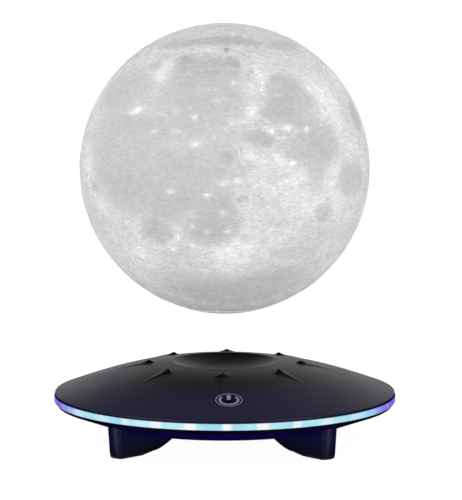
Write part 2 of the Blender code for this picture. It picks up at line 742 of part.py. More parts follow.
def make_screws(frame, skin):
    upright = screw(SCREW_HEAD_RADIUS, SCREW_HEAD_HEIGHT, SCREW_SHANK_RADIUS, COVER_SCREW_LENGTH)
    head_level = floor_level + HEAD_RECESS + SCREW_HEAD_HEIGHT
    upright = placed(upright, Matrix.Rotation(pi, 4, "X"))
    spread("cover_screw", upright, [on_circle(boss_circle, azimuth) for azimuth in BOSS_AZIMUTHS],
           head_level, skin, frame)
    leg_screw = screw(SCREW_HEAD_RADIUS, SCREW_HEAD_HEIGHT, SCREW_SHANK_RADIUS,
                      SHELL_WALL + 2 * FIT + LEG_SCREW_DEPTH - FIT)
    places = [on_circle(leg_screw_circle, azimuth) for azimuth in FOOT_AZIMUTHS]
    spread("leg_screw", leg_screw, places, floor_top + FIT, skin, frame)
    tray_screw = screw(SMALL_HEAD_RADIUS, SMALL_HEAD_HEIGHT, SMALL_SHANK_RADIUS,
                       tray_top + FIT - floor_top + SMALL_SCREW_BITE)
    spread("tray_screw", tray_screw, tray_screw_places(), tray_top + FIT, skin, frame)
    board_screw = screw(SMALL_HEAD_RADIUS, SMALL_HEAD_HEIGHT, SMALL_SHANK_RADIUS,
                        board_top + FIT - floor_top + SMALL_SCREW_BITE)
    spread("board_screw", board_screw, board_screw_places(), board_top + FIT, skin, frame)


# Feet

def leg_body_outline():
    """The leg's side view: radius against height."""
    flare_rise = FLARE_RISE / (lip_radius - floor_radius)
    top = floor_level - FIT
    end_top = top + (leg_reach - floor_radius) * flare_rise - FIT * flare_rise
    toe = leg_reach - LEG_END_DRAFT
    tip_low = top - LEG_TIP_DEPTH
    belly_drop = LEG_BELLY_REACH * tan(radians(LEG_BELLY_SLOPE))
    belly = bezier((sole_start, sole_level), (sole_start - LEG_BELLY_REACH, sole_level),
                   (leg_tip + LEG_BELLY_REACH, tip_low - belly_drop),
                   (leg_tip, tip_low), BELLY_STEPS)
    return rounded([(leg_tip, top, 0.0), (floor_radius, top, 0.0), (leg_reach, end_top, 0.0),
                    (toe, sole_level, LEG_TOE_ROUND), (*belly[0], 0.0)]) + belly[1:]


def make_feet(frame, leg_skin, pad_skin, names):
    half = LEG_THICKNESS / 2
    side = placed(prism(leg_body_outline(), -half, half), Matrix.Rotation(radians(90), 4, "X"))
    leg = piece("leg_" + names[0], side, leg_skin, frame)
    tip = leg_tip - OVERRUN
    plan = rounded([(tip, -half, 0.0), (leg_reach, -half, LEG_CORNER_ROUND),
                    (leg_reach, half, LEG_CORNER_ROUND), (tip, half, 0.0)], closed=True)
    combine(leg, prism(plan, -OVERRUN, lip_level), "INTERSECT")
    hole_low = floor_level - FIT - LEG_SCREW_DEPTH - FIT
    hole = cylinder(SCREW_SHANK_RADIUS + FIT, hole_low, floor_level + OVERRUN, SCREW_FACETS)
    combine(leg, moved(hole, leg_screw_circle, 0.0), "DIFFERENCE")
    leg.rotation_euler.z = radians(FOOT_AZIMUTHS[0])
    inset = half - PAD_INSET
    pad_start = sole_start + PAD_INSET
    pad_end = leg_reach - LEG_END_DRAFT - PAD_INSET
    corner = LEG_CORNER_ROUND - PAD_INSET
    pad_plan = rounded([(pad_start, -inset, 0.0), (pad_end, -inset, corner),
                        (pad_end, inset, corner), (pad_start, inset, 0.0)], closed=True)
    pad = piece("foot_pad_" + names[0], prism(pad_plan, 0.0, PAD_THICKNESS), pad_skin, frame)
    pad.rotation_euler.z = radians(FOOT_AZIMUTHS[0])
    for name, azimuth in zip(names[1:], FOOT_AZIMUTHS[1:]):
        instance("leg_" + name, leg.data, frame, rotation=(0, 0, radians(azimuth)))
        instance("foot_pad_" + name, pad.data, frame, rotation=(0, 0, radians(azimuth)))


# Magnets, coils and boards in the base

def make_magnet_system(frame, skins):
    inner_wall = ring_magnet_bore - FIT
    outer_wall = ring_magnet_radius + FIT
    wall_top = tray_top + TRAY_WALL_HEIGHT
    tray = [(0.0, tray_level), (tray_radius, tray_level), (tray_radius, tray_top),
            (outer_wall + TRAY_WALL, tray_top), (outer_wall + TRAY_WALL, wall_top),
            (outer_wall, wall_top), (outer_wall, tray_top), (inner_wall, tray_top),
            (inner_wall, wall_top), (inner_wall - TRAY_WALL, wall_top),
            (inner_wall - TRAY_WALL, tray_top), (0.0, tray_top)]
    tray = piece("magnet_tray", turned(tray, ROUND_FACETS), skins["tray"], frame)
    holes = [moved(cylinder(SMALL_SHANK_RADIUS + FIT, tray_level - OVERRUN, tray_top + OVERRUN,
                            SCREW_FACETS), x, y) for x, y in tray_screw_places()]
    combine(tray, joined(holes), "DIFFERENCE")
    magnet = tube(ring_magnet_bore, ring_magnet_radius, ring_magnet_level,
                  ring_magnet_level + RING_MAGNET_HEIGHT)
    piece("ring_magnet", magnet, skins["ferrite"], frame)
    coil = tube(power_coil_bore, power_coil_radius, power_coil_level,
                power_coil_level + POWER_COIL_HEIGHT)
    piece("power_coil", coil, skins["copper"], frame)
    flange_low = core_level + CORE_FLANGE
    flange_high = core_top - CORE_FLANGE
    core = piece("coil_core_1", turned([(0.0, core_level), (coil_radius, core_level),
                                        (coil_radius, flange_low), (CORE_RADIUS, flange_low),
                                        (CORE_RADIUS, flange_high), (coil_radius, flange_high),
                                        (coil_radius, core_top), (0.0, core_top)], COIL_FACETS),
                 skins["steel"], frame)
    winding = piece("coil_1", tube(CORE_RADIUS + FIT, coil_radius, flange_low + FIT, flange_high - FIT,
                                   COIL_FACETS), skins["copper"], frame)
    for index in range(COIL_COUNT):
        place = (*on_circle(coil_circle, COIL_FIRST_AZIMUTH + 360 * index / COIL_COUNT), 0.0)
        if index == 0:
            core.location = winding.location = place
        else:
            instance(f"coil_core_{index + 1}", core.data, frame, place)
            instance(f"coil_{index + 1}", winding.data, frame, place)
    board_high = sensor_board_level + BOARD_THICKNESS
    board = piece("sensor_board", cylinder(SENSOR_BOARD_RADIUS, sensor_board_level, board_high),
                  skins["board"], frame)
    half = BOARD_THICKNESS / 2
    sensor_size = (*SENSOR_SIZE[:2], SENSOR_SIZE[2] + half)
    sensors = [turned_about_z(moved(block(sensor_size, board_high - half), SENSOR_CIRCLE, 0.0), azimuth)
               for azimuth in SENSOR_AZIMUTHS]
    combine(board, joined(sensors), "UNION")


def make_control_board(frame, board_skin):
    plan = sector(board_inner, board_outer, BOARD_AZIMUTH - BOARD_HALF_ANGLE,
                  BOARD_AZIMUTH + BOARD_HALF_ANGLE, BOARD_STEPS, board_level, board_top)
    board = piece("control_board", plan, board_skin, frame)
    holes = [moved(cylinder(SMALL_SHANK_RADIUS + FIT, board_level - OVERRUN, board_top + OVERRUN,
                            SCREW_FACETS), x, y) for x, y in board_screw_places()]
    combine(board, joined(holes), "DIFFERENCE")
    low = (board_level + board_top) / 2
    middle = (board_inner + board_outer) / 2
    choke = cylinder(CHOKE_RADIUS, low, board_top + CHOKE_HEIGHT, COIL_FACETS)
    capacitor = cylinder(CAPACITOR_RADIUS, low, board_top + CAPACITOR_HEIGHT, COIL_FACETS)
    parts = [(block(CHIP_SIZE, low), REGULATOR_ANGLE), (choke, CHOKE_ANGLE),
             (block(CHIP_SIZE, low), PROCESSOR_ANGLE), (capacitor, CAPACITOR_ANGLE),
             (block(PLUG_SIZE, low), PLUG_ANGLE)]
    soldered = [turned_about_z(moved(body, middle, 0.0), BOARD_AZIMUTH + angle)
                for body, angle in parts]
    combine(board, joined(soldered), "UNION")


# Globe and what it carries

def globe_arc(radius, first, last, steps):
    return arc((0.0, 0.0), radius, first, last, steps)


def neck_angle(radius, reach):
    """Where a sphere meets a radius round the axis, below its middle, in degrees."""
    return -degrees(acos(reach / radius))


def make_globe(frame, skins):
    inner = globe_radius - GLOBE_WALL
    ring_inner = cup_radius + FIT
    ring_outer = ring_inner + LOCK_RING_WIDTH
    collar = ring_outer + COLLAR_MARGIN
    collar_top = -sqrt(inner * inner - collar * collar)
    shell = (globe_arc(inner, 90, neck_angle(inner, collar), GLOBE_INNER_STEPS)
             + [(neck_radius, collar_top)]
             + globe_arc(globe_radius, neck_angle(globe_radius, neck_radius), 90, GLOBE_STEPS))
    piece("globe_shell", turned(shell, GLOBE_FACETS), skins["globe"], frame)
    cup = (globe_arc(globe_radius, -90, neck_angle(globe_radius, cup_radius), ROUND_STEPS)
           + [(cup_radius, cup_top), (cup_inner, cup_top), (cup_inner, cup_floor), (0.0, cup_floor)])
    piece("magnet_cup", turned(cup, ROUND_FACETS), skins["cup"], frame)
    ring_low = collar_top + FIT
    ring = tube(ring_inner, ring_outer, ring_low, ring_low + LOCK_RING_HEIGHT)
    piece("lock_ring", ring, skins["cup"], frame)
    pickup = tube(PICKUP_COIL_BORE, pickup_coil_radius, pickup_level, pickup_level + PICKUP_COIL_HEIGHT)
    piece("pickup_coil", pickup, skins["copper"], frame)
    lid = piece("cup_lid", cylinder(cup_inner - FIT, lid_level, cup_top), skins["cup"], frame)
    places = [on_circle(lamp_screw_circle, azimuth) for azimuth in LAMP_SCREW_AZIMUTHS]
    bite = SMALL_SCREW_BITE + FIT
    hole = SMALL_SHANK_RADIUS + FIT
    pilots = [moved(cylinder(hole, cup_top - bite, cup_top + OVERRUN, SCREW_FACETS), x, y)
              for x, y in places]
    combine(lid, joined(pilots), "DIFFERENCE")
    board_high = lamp_board_level + BOARD_THICKNESS
    board = piece("lamp_board", cylinder(cup_radius, lamp_board_level, board_high), skins["board"], frame)
    holes = [moved(cylinder(hole, lamp_board_level - OVERRUN, board_high + OVERRUN, SCREW_FACETS), x, y)
             for x, y in places]
    combine(board, joined(holes), "DIFFERENCE")
    lamp_screw = screw(SMALL_HEAD_RADIUS, SMALL_HEAD_HEIGHT, SMALL_SHANK_RADIUS,
                       board_high + FIT - cup_top + SMALL_SCREW_BITE)
    spread("lamp_board_screw", lamp_screw, places, board_high + FIT, skins["steel"], frame)
    half = BOARD_THICKNESS / 2
    led_size = (*LAMP_LED_SIZE[:2], LAMP_LED_SIZE[2] + half)
    leds = [turned_about_z(moved(block(led_size, board_high - half), lamp_led_circle, 0.0),
                           360 * index / LAMP_LED_COUNT) for index in range(LAMP_LED_COUNT)]
    combine(board, joined(leds), "UNION")


def make_float_magnet(frame, skin):
    top = MAGNET_HEIGHT - MAGNET_CHAMFER
    rim = MAGNET_RADIUS - MAGNET_CHAMFER
    magnet = turned([(0.0, 0.0), (rim, 0.0), (MAGNET_RADIUS, MAGNET_CHAMFER), (MAGNET_RADIUS, top),
                     (rim, MAGNET_HEIGHT), (0.0, MAGNET_HEIGHT)], ROUND_FACETS)
    piece("float_magnet", magnet, skin, frame)


def build():
    for old in list(bpy.data.objects):
        bpy.data.objects.remove(old, do_unlink=True)
    base = empty("base_frame", 0.0)
    hover = empty("float_frame", globe_level + magnet_level)
    globe = empty("globe_frame", globe_level)
    skins = {
        "globe": material("moon_white", (0.68, 0.68, 0.67), 0.75),
        "cup": material("cup_white", (0.70, 0.70, 0.69), 0.50),
        "tray": material("tray_grey", (0.10, 0.10, 0.11), 0.60),
        "ferrite": material("ferrite", (0.05, 0.05, 0.055), 0.55),
        "copper": material("copper_wire", (0.60, 0.24, 0.12), 0.35, metallic=1.0),
        "steel": material("screw_steel", (0.55, 0.56, 0.58), 0.30, metallic=1.0),
        "board": material("board_green", (0.02, 0.12, 0.05), 0.45),
    }
    cover_skin = material("cover_charcoal", (0.030, 0.029, 0.034), 0.45)
    shell_skin = material("shell_navy", (0.008, 0.007, 0.020), 0.40)
    leg_skin = material("leg_navy", (0.008, 0.007, 0.020), 0.40)
    make_cover(base, cover_skin)
    make_touch_key(base, material("key_violet", (0.05, 0.04, 0.10), 0.35), skins["board"])
    make_light_ring(base, material("ring_cyan", (0.45, 0.75, 0.95), 0.25),
                    material("strip_white", (0.75, 0.75, 0.75), 0.50))
    make_lower_shell(base, shell_skin)
    make_feet(base, leg_skin, material("pad_rubber", (0.010, 0.010, 0.010), 0.85),
              ("rear_right", "rear_left", "front_left", "front_right"))
    make_magnet_system(base, skins)
    make_control_board(base, skins["board"])
    make_jack(base, material("jack_black", (0.015, 0.015, 0.015), 0.45))
    make_screws(base, skins["steel"])
    make_float_magnet(hover, material("magnet_nickel", (0.62, 0.61, 0.60), 0.22, metallic=1.0))
    make_globe(globe, skins)


build()
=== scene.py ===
"""Looks of the levitating lamp: the finish of every surface, the camera, the lights and the floor.

Metres, +Z up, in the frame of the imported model. -Y is the lamp's front.
"""
import json
from math import acos, asin, atan2, cos, degrees, hypot, pi, radians, sin, sqrt, tan

import bmesh
import bpy
import numpy as np
from mathutils import Matrix, Vector, noise


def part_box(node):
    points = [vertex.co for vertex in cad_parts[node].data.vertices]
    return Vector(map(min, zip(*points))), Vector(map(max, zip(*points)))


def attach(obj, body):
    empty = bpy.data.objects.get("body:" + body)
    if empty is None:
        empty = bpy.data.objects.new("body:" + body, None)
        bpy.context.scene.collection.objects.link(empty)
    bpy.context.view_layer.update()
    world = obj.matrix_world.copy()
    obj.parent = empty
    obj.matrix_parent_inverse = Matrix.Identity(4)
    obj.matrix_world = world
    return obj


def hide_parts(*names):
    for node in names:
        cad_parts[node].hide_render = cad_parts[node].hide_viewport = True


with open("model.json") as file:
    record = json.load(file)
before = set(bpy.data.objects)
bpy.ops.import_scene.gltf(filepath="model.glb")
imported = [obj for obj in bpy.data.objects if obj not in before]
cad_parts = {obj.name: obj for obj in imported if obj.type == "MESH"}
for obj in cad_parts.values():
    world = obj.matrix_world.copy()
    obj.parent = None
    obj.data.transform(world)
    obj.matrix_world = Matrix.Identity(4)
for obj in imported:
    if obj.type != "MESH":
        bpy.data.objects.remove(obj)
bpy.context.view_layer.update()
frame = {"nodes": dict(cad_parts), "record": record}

# Camera, in the photograph's place
PICTURE_SIZE = (462, 500)
CAMERA_DISTANCE = 1
CAMERA_PITCH = 5.75
CAMERA_AZIMUTH = 1.3
CAMERA_AIM = (0.0032, 0, 0.0988)
CAMERA_LENS = 138.8
CAMERA_SENSOR = 36

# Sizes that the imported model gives
ring_low, ring_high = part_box("light_ring")
globe_low, globe_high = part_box("globe_shell")
cup_low, cup_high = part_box("magnet_cup")
base_radius = ring_high.x
band_level = ring_low.z
band_top = ring_high.z
globe_radius = (globe_high.x - globe_low.x) / 2
globe_level = globe_high.z - globe_radius
UNIT = 0.001  # a short run for slopes and for cuts that pass through
FIT = 0.0003  # between two pieces that touch
ON_AXIS = 1e-9

# Top cover
SEAM = 0.0008
COVER_STEP = 0.0004
COVER_LIP_HEIGHT = 0.0003
COVER_EDGE_ROUND = 0.00012
SKIRT_INSET = 0.001  # a skirt behind the seam keeps the light in
SKIRT_WIDTH = 0.0014
SKIRT_GAP = 0.00015
DOME_RISE = 0.01495
DOME_EDGE_SLOPE = 20
DOME_TOP_SLOPE = 5.5
DOME_REACH = 0.0205
CREST_RADIUS = 0.0275
CREST_RISE = 0.0005
CREST_ROUND = 0.0034
DOME_TOP_STEP = 0.0037
DISH_STEP = 0.0019
DISH_EDGE_DROP = 0.0007
DISH_CURVE = 0.08
COVER_WALL = 0.0022
SHELF_WIDTH = 0.006  # under the cover's edge
DOME_UNDER_INSET = 0.008

# Fins
FIN_COUNT = 8
FIN_TIP_GAP = 0.0056
FIN_PEAK_RUN = 0.0026
FIN_SHOULDER_RUN = 0.004
FIN_LENGTH = 0.0225
FIN_HALF_WIDTH = 0.0049
FIN_HEIGHT = 0.0016
FIN_HOLLOW = 1.1
FIN_TAIL_HOLLOW = 1.05
FIN_SIDE_HOLLOW = 1.3
FIN_STEEP_SHARE = 0.5
FIN_STEEP_RUN = 0.0048
FIN_SINK = 0.00003
FIN_MARGIN = 0.002  # closely spaced rings go on past a fin's ends

# Where a tone turns to another, as painted blue light on the cover's edge and the legs' tops, and
# painted shade under the band: distances from the axis, heights, and depths under the band
RIM_PAINTED_LIGHT_REACH = (0.038, 0.074)
LEG_PAINTED_LIGHT_REACH = (0.0005, 0.011)
SHADE_UNDER_BAND = (0.0028, 0.001)

# Touch key
KEY_INSET = 0.0198
KEY_AZIMUTH = -86.9
KEY_RADIUS = 0.0073
KEY_THICKNESS = 0.0008
KEY_GAP = 0.00012
KEY_EDGE = 0.0002
SYMBOL_RISE = 0.00012
SYMBOL_RING_INSETS = (0.00115, 0.0007)
SYMBOL_ARC_INSETS = (0.0034, 0.0022)
SYMBOL_GAP = 46
SYMBOL_BAR_WIDTH = 0.002
SYMBOL_BAR_INSET = 0.0023
SYMBOL_BAR_LENGTH = 0.0046

# Lower shell
LIP_STEP = 0.0015
LIP_HEIGHT = 0.0013
FLOOR_INSET = 0.0218
FLARE_RISE = 0.0075
SHELL_WALL = 0.0022
FLOOR_EDGE_ROUND = 0.0015
LIP_EDGE_ROUND = 0.0003
STRIP_WALL_INSET = 0.0058
STRIP_WALL = 0.0015
STRIP_WALL_DROP = 0.0002
POD_WALL = 0.0014
POD_CORNER_ROUND = 0.0015
POD_EDGE_ROUND = 0.0004
PLUG_HOLE_RADIUS = 0.0033
JACK_AXIS_HEIGHT = 0.0038
COUNTERBORE_DEPTH = 0.0012
SCREW_SHANK_RADIUS = 0.0014

# Legs and pads
LEG_AZIMUTHS = {"rear_right": 45, "rear_left": 135, "front_left": 225, "front_right": 315}
LEG_THICKNESS = 0.0095
LEG_OVERHANG = 0.0108
LEG_END_DRAFT = 0.0012
LEG_SOLE_LENGTH = 0.0238
LEG_LENGTH = 0.047
LEG_TIP_DEPTH = 0.0012
LEG_BELLY_REACH = 0.007
LEG_BELLY_SLOPE = 20
LEG_EDGE_ROUND = 0.0007
LEG_SINK = 0.0003
LEG_TOE_ROUND = 0.0003
LEG_END_RADIUS = 0.0068
LEG_CORNER_ROUND = 0.0005
PAD_INSET = 0.00015
PAD_EDGE_ROUND = 0.0006
PAD_TOP_RUN = 0.0014
PAD_SLOPE_RUN = 0.0072
PAD_BEND_ROUND = 0.006

# Light ring. Lamp spots are measured in shares of the pitch, the sides in shares of the radius
RING_WIDTH = 0.0026
RING_EDGE_ROUND = 0.0006
LED_COUNT = 32
LED_FIRST_AZIMUTH = -88
# The band's bottom and top edges dim to dark navy: painted shade of the seams.
BAND_EDGE_LOW = 0.0004
BAND_EDGE_TOP = 0.0005
BAND_DARK_TOP = 0.0001
BAND_CYAN = ((0.4, 0.8, 0.96), (0.62, 0.92, 1.00))
BAND_VIOLET = (0.22, 0.15, 0.86)
BAND_SEAM_SHADE = (0.004, 0.004, 0.03)
BAND_GLOW = 0.92
SPOT_WIDTH_SHARES = (0.16, 0.27)
SPOT_SOFT_SHARE = 0.14
SPOT_FADE_SHARES = (0.25, 0.75)
SPOT_AT_SIDE = 0.12
VIOLET_SHARES = (0.76, 0.95)

# Globe
MOON_COLUMNS = 440
MOON_ROWS = 210
MOON_WALL = 0.0015
MOON_RELIEF = 0.0003
MOON_INNER_ROWS = 16
MOON_TONE = 0.63
PLAIN_DARKNESS = 0.13
PALE_LIGHT = 0.12
RIDGE_LIGHT = 0.14
SPECK_LIGHT = 0.15
MOON_GLOW_AND_FILL = 0.25  # share of the tone given as light: the lamps inside, and painted light that evens out the shading
# Stronger at the bottom: painted light that fills the shade the base casts on the globe
MOON_BOTTOM_FILL_GLOW = 0.46
MOON_GLOW_TOP_SHARE = 0.35  # of the radius, under the middle
PLAIN_SINK = 0.00012
PLAIN_SHORE = 0.3  # a plain sinks from this far outside its edge
RELIEF_SHARES = (-2.5, 0.95)  # deepest and highest, of the relief
SHORE_WANDER = ((7, 3, 0.022), (22, 3, 0.018))  # scale, octaves, reach
NECK_GAP = 0.0004
NECK_LIP = 0.0003
CUP_WALL = 0.0021
CUP_FLOOR_HEIGHT = 0.0045  # over the globe's lowest point

# Stage
FLOOR_LEVEL = -0.0002
STAGE_RADIUS = 12
FLOOR_COLOR = (0.1, 0.1, 0.1)
TENT_COLOR = (0.05, 0.05, 0.05)
FLOOR_GLOW = 0.97
TENT_GLOW = 1.00
STAGE_UNEVEN = 0.004
# What shows in gloss: colour, and ramps over an axis of the direction looked in: from, to, and strengths
SKY_LAYERS = (
    # Behind the lamp
    ((1, 1, 1), (("Z", (0.08, 0.57, 0.84, 0)), ("Z", (-0.06, 0.04, 0, 1)),
                       ("Y", (-0.1, 0.5, 0.14, 1)), ("X", (-0.8, -0.2, 0.8, 1)))),
    # At the right
    ((1, 1, 1), (("X", (-0.12, 0.24, 0, 0.18)), ("Z", (0.45, 0.85, 1, 0)),
                       ("Z", (0.1, 0.4, 0, 1)))),
    # In front
    ((0.92, 0.92, 1), (("Z", (-0.05, 0.4, 2.2, 0)), ("Z", (-0.5, -0.3, 0, 1)),
                         ("Y", (-0.92, -0.66, 0.05, 1)), ("Y", (-0.6, -0.3, 1, 0)))))
LAMP_PLACE = (-0.3, -0.2, 1.6)
LAMP_AIM = (0, 0, 0.1)
LAMP_SIZE = 1
LAMP_POWER = 2


# Curves and outlines

def spaced(first, last, steps):
    return [first + (last - first) * step / steps for step in range(steps + 1)]


def bezier(start, start_pull, end_pull, end, steps):
    """Points along a cubic curve."""
    points = []
    for t in spaced(0, 1, steps):
        s = 1 - t
        shares = (s ** 3, 3 * s * s * t, 3 * s * t * t, t ** 3)
        corners = (start, start_pull, end_pull, end)
        points.append(tuple(sum(share * corner[axis] for share, corner in zip(shares, corners))
                            for axis in range(2)))
    return points


def arc(radius, first, last, steps, centre=(0, 0)):
    """Points along a circular arc, angles in degrees."""
    return [(centre[0] + radius * cos(radians(angle)), centre[1] + radius * sin(radians(angle)))
            for angle in spaced(first, last, steps)]


def rounded(corners, steps=6, closed=False):
    """Replace each corner that has a radius after its x and y by an arc that touches both its sides."""
    points = []
    count = len(corners)
    for index, (x, y, *given) in enumerate(corners):
        radius = sum(given)
        if radius == 0 or (not closed and index in (0, count - 1)):
            points.append((x, y))
            continue
        corner = Vector((x, y))
        before = (Vector(corners[index - 1][:2]) - corner).normalized()
        after = (Vector(corners[(index + 1) % count][:2]) - corner).normalized()
        half_angle = before.angle(after) / 2
        tangent = radius / tan(half_angle)
        centre = corner + (before + after).normalized() * radius / sin(half_angle)
        start = corner + before * tangent - centre
        turn = start.angle_signed(corner + after * tangent - centre)
        points += [tuple(centre + Matrix.Rotation(-turn * step / steps, 2) @ start)
                   for step in range(steps + 1)]
    return points


def rectangle(left, low, right, high, radius=0):
    return [(left, low, radius), (right, low, radius), (right, high, radius), (left, high, radius)]


# Meshes

def meshed(body):
    """The mesh of a closed body, its faces turned outwards."""
    bmesh.ops.recalc_face_normals(body, faces=body.faces)
    mesh = bpy.data.meshes.new("body")
    body.to_mesh(mesh)
    body.free()
    return mesh


def ringed(rings):
    """A mesh with faces from each ring of places to the next, and from the last to the first. A ring
    of one place is a point on the axis."""
    body = bmesh.new()
    rings = [[body.verts.new(place) for place in ring] for ring in rings]
    for ring, following in zip(rings, rings[1:] + rings[:1]):
        count = max(len(ring), len(following))
        if count == 1:
            continue
        for index in range(count):
            after = index + 1
            corners = (ring[index % len(ring)], ring[after % len(ring)],
                       following[after % len(following)], following[index % len(following)])
            body.faces.new(list(dict.fromkeys(corners)))
    return meshed(body)


def turned(outline, azimuths):
    """Rings of places: each (radius, height) of an outline turned through the azimuths, in degrees."""
    turns = [(cos(radians(azimuth)), sin(radians(azimuth))) for azimuth in azimuths]
    return [[(0, 0, height)] if radius < ON_AXIS else [(radius * x, radius * y, height) for x, y in turns]
            for radius, height in outline]


def revolve(outline, azimuths):
    return ringed(turned(outline, azimuths))


def around(count):
    return [360 * index / count for index in range(count)]


def prism(outline, low, high):
    """A mesh of a closed plan outline between two heights."""
    body = bmesh.new()
    face = body.faces.new([body.verts.new((x, y, low)) for x, y in outline])
    grown = bmesh.ops.extrude_face_region(body, geom=[face])
    top = [item for item in grown["geom"] if isinstance(item, bmesh.types.BMVert)]
    bmesh.ops.translate(body, verts=top, vec=(0, 0, high - low))
    return meshed(body)


def linked(name, data):
    data.name = name
    made = bpy.data.objects.new(name, data)
    bpy.context.scene.collection.objects.link(made)
    return made


def modified(made, kind, **settings):
    """Put a modifier on an object and make its work part of the mesh."""
    modifier = made.modifiers.new(kind, kind)
    for name, value in settings.items():
        setattr(modifier, name, value)
    seen = made.evaluated_get(bpy.context.evaluated_depsgraph_get())
    mesh = bpy.data.meshes.new_from_object(seen)
    made.modifiers.clear()
    made.data = mesh


def bevelled(made, width, segments=3, angle=35):
    modified(made, "BEVEL", width=width, segments=segments, limit_method="ANGLE", angle_limit=radians(angle))


def cut(made, tool, operation="DIFFERENCE"):
    modified(made, "BOOLEAN", operation=operation, solver="EXACT", object=tool)
    bpy.data.objects.remove(tool)


def drum(radius, low, high, place, facets=48):
    """A cylinder to cut with, moved from the origin by a matrix."""
    mesh = revolve(rounded(rectangle(0, low, radius, high)), around(facets))
    mesh.transform(place)
    return linked("drum", mesh)


def finished(made, skin, body, nodes=(), sharp=40):
    """Shade a piece, give it its material, and say what it stands for and rides on."""
    made.data.materials.clear()
    made.data.materials.append(skin)
    made.data.shade_smooth()
    made.data.set_sharp_from_angle(angle=radians(sharp))
    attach(made, body)
    if nodes:
        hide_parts(*nodes)
    return made


# Materials

class Nodes:
    """A node tree, with short ways to add to it."""

    def __init__(self, tree):
        self.tree = tree

    def set(self, node, values):
        for name, value in values.items():
            if isinstance(value, bpy.types.NodeSocket):
                self.tree.links.new(value, node.inputs[name])
            elif isinstance(value, tuple) and len(value) == 3:
                node.inputs[name].default_value = (*value, 1)
            else:
                node.inputs[name].default_value = value

    def add(self, kind, values=(), **settings):
        node = self.tree.nodes.new("ShaderNode" + kind)
        for name, value in settings.items():
            setattr(node, name, value)
        self.set(node, dict(values))
        return node

    def math(self, operation, *values, clamp=False):
        return self.add("Math", enumerate(values), operation=operation, use_clamp=clamp).outputs[0]

    def between(self, value, low, high, to_low=0, to_high=1, kind="LINEAR"):
        return self.add("MapRange", {"Value": value, "From Min": low, "From Max": high,
                                     "To Min": to_low, "To Max": to_high},
                        interpolation_type=kind).outputs["Result"]


class Skin(Nodes):
    """A material and its nodes."""

    def __init__(self, name, **settings):
        self.material = bpy.data.materials.new(name)
        self.material.use_nodes = True
        super().__init__(self.material.node_tree)
        self.shader = self.tree.nodes["Principled BSDF"]
        sockets = {"color": "Base Color", "specular": "Specular IOR Level"}
        self.shade({sockets.get(name, name.capitalize()): value for name, value in settings.items()})

    def shade(self, values):
        self.set(self.shader, values)

    def place(self):
        return self.add("TexCoord").outputs["Object"]

    def noise(self, scale, detail=2, roughness=0.5, place=None, distortion=0):
        return self.add("TexNoise", {"Vector": place or self.place(), "Scale": scale, "Detail": detail,
                                     "Roughness": roughness, "Distortion": distortion}).outputs["Fac"]

    def mix(self, share, first, second):
        return self.add("Mix", {0: share, 6: first, 7: second}, data_type="RGBA").outputs[2]

    def bump(self, height, strength, distance):
        return self.add("Bump", {"Height": height, "Strength": strength,
                                 "Distance": distance}).outputs["Normal"]


def moulded(name, color, lighter, roughness, specular, grain=2600, depth=0.00002, painted_light_ramp=None, glow=0):
    """Moulded plastic: a fine grain, and gloss and tone that vary a little across the surface. A painted
    light ramp is a colour of painted light and shade that the tone turns to between two distances from
    the axis, or two heights. A glow is the share of its tone that it gives as light, partly from the lamp
    behind it and partly painted fill light in shade."""
    skin = Skin(name, specular=specular)
    cloud = skin.noise(55, 3)
    fine = skin.noise(grain, 2, 0.6)
    tone = skin.mix(skin.between(cloud, 0.35, 0.68), color, lighter)
    # Painted light and shade: the tone turns to another colour between two distances from the axis, or two
    # heights.
    if painted_light_ramp:
        measure, reach, painted_tone = painted_light_ramp
        axes = skin.add("SeparateXYZ", {"Vector": skin.place()}).outputs
        away = skin.math("SQRT", skin.math("ADD", skin.math("POWER", axes["X"], 2),
                                           skin.math("POWER", axes["Y"], 2)))
        value = {"away": away, "height": axes["Z"]}[measure]
        tone = skin.mix(skin.between(value, *reach, kind="SMOOTHSTEP"), tone, painted_tone)
    skin.shade({
        "Base Color": tone,
        "Roughness": skin.between(cloud, 0.3, 0.7, roughness - 0.03, roughness + 0.04),
        "Normal": skin.bump(fine, 0.25, depth)})
    if glow:
        skin.shade({"Emission Color": tone, "Emission Strength": glow})
        skin.material.cycles.emission_sampling = "NONE"
    return skin.material


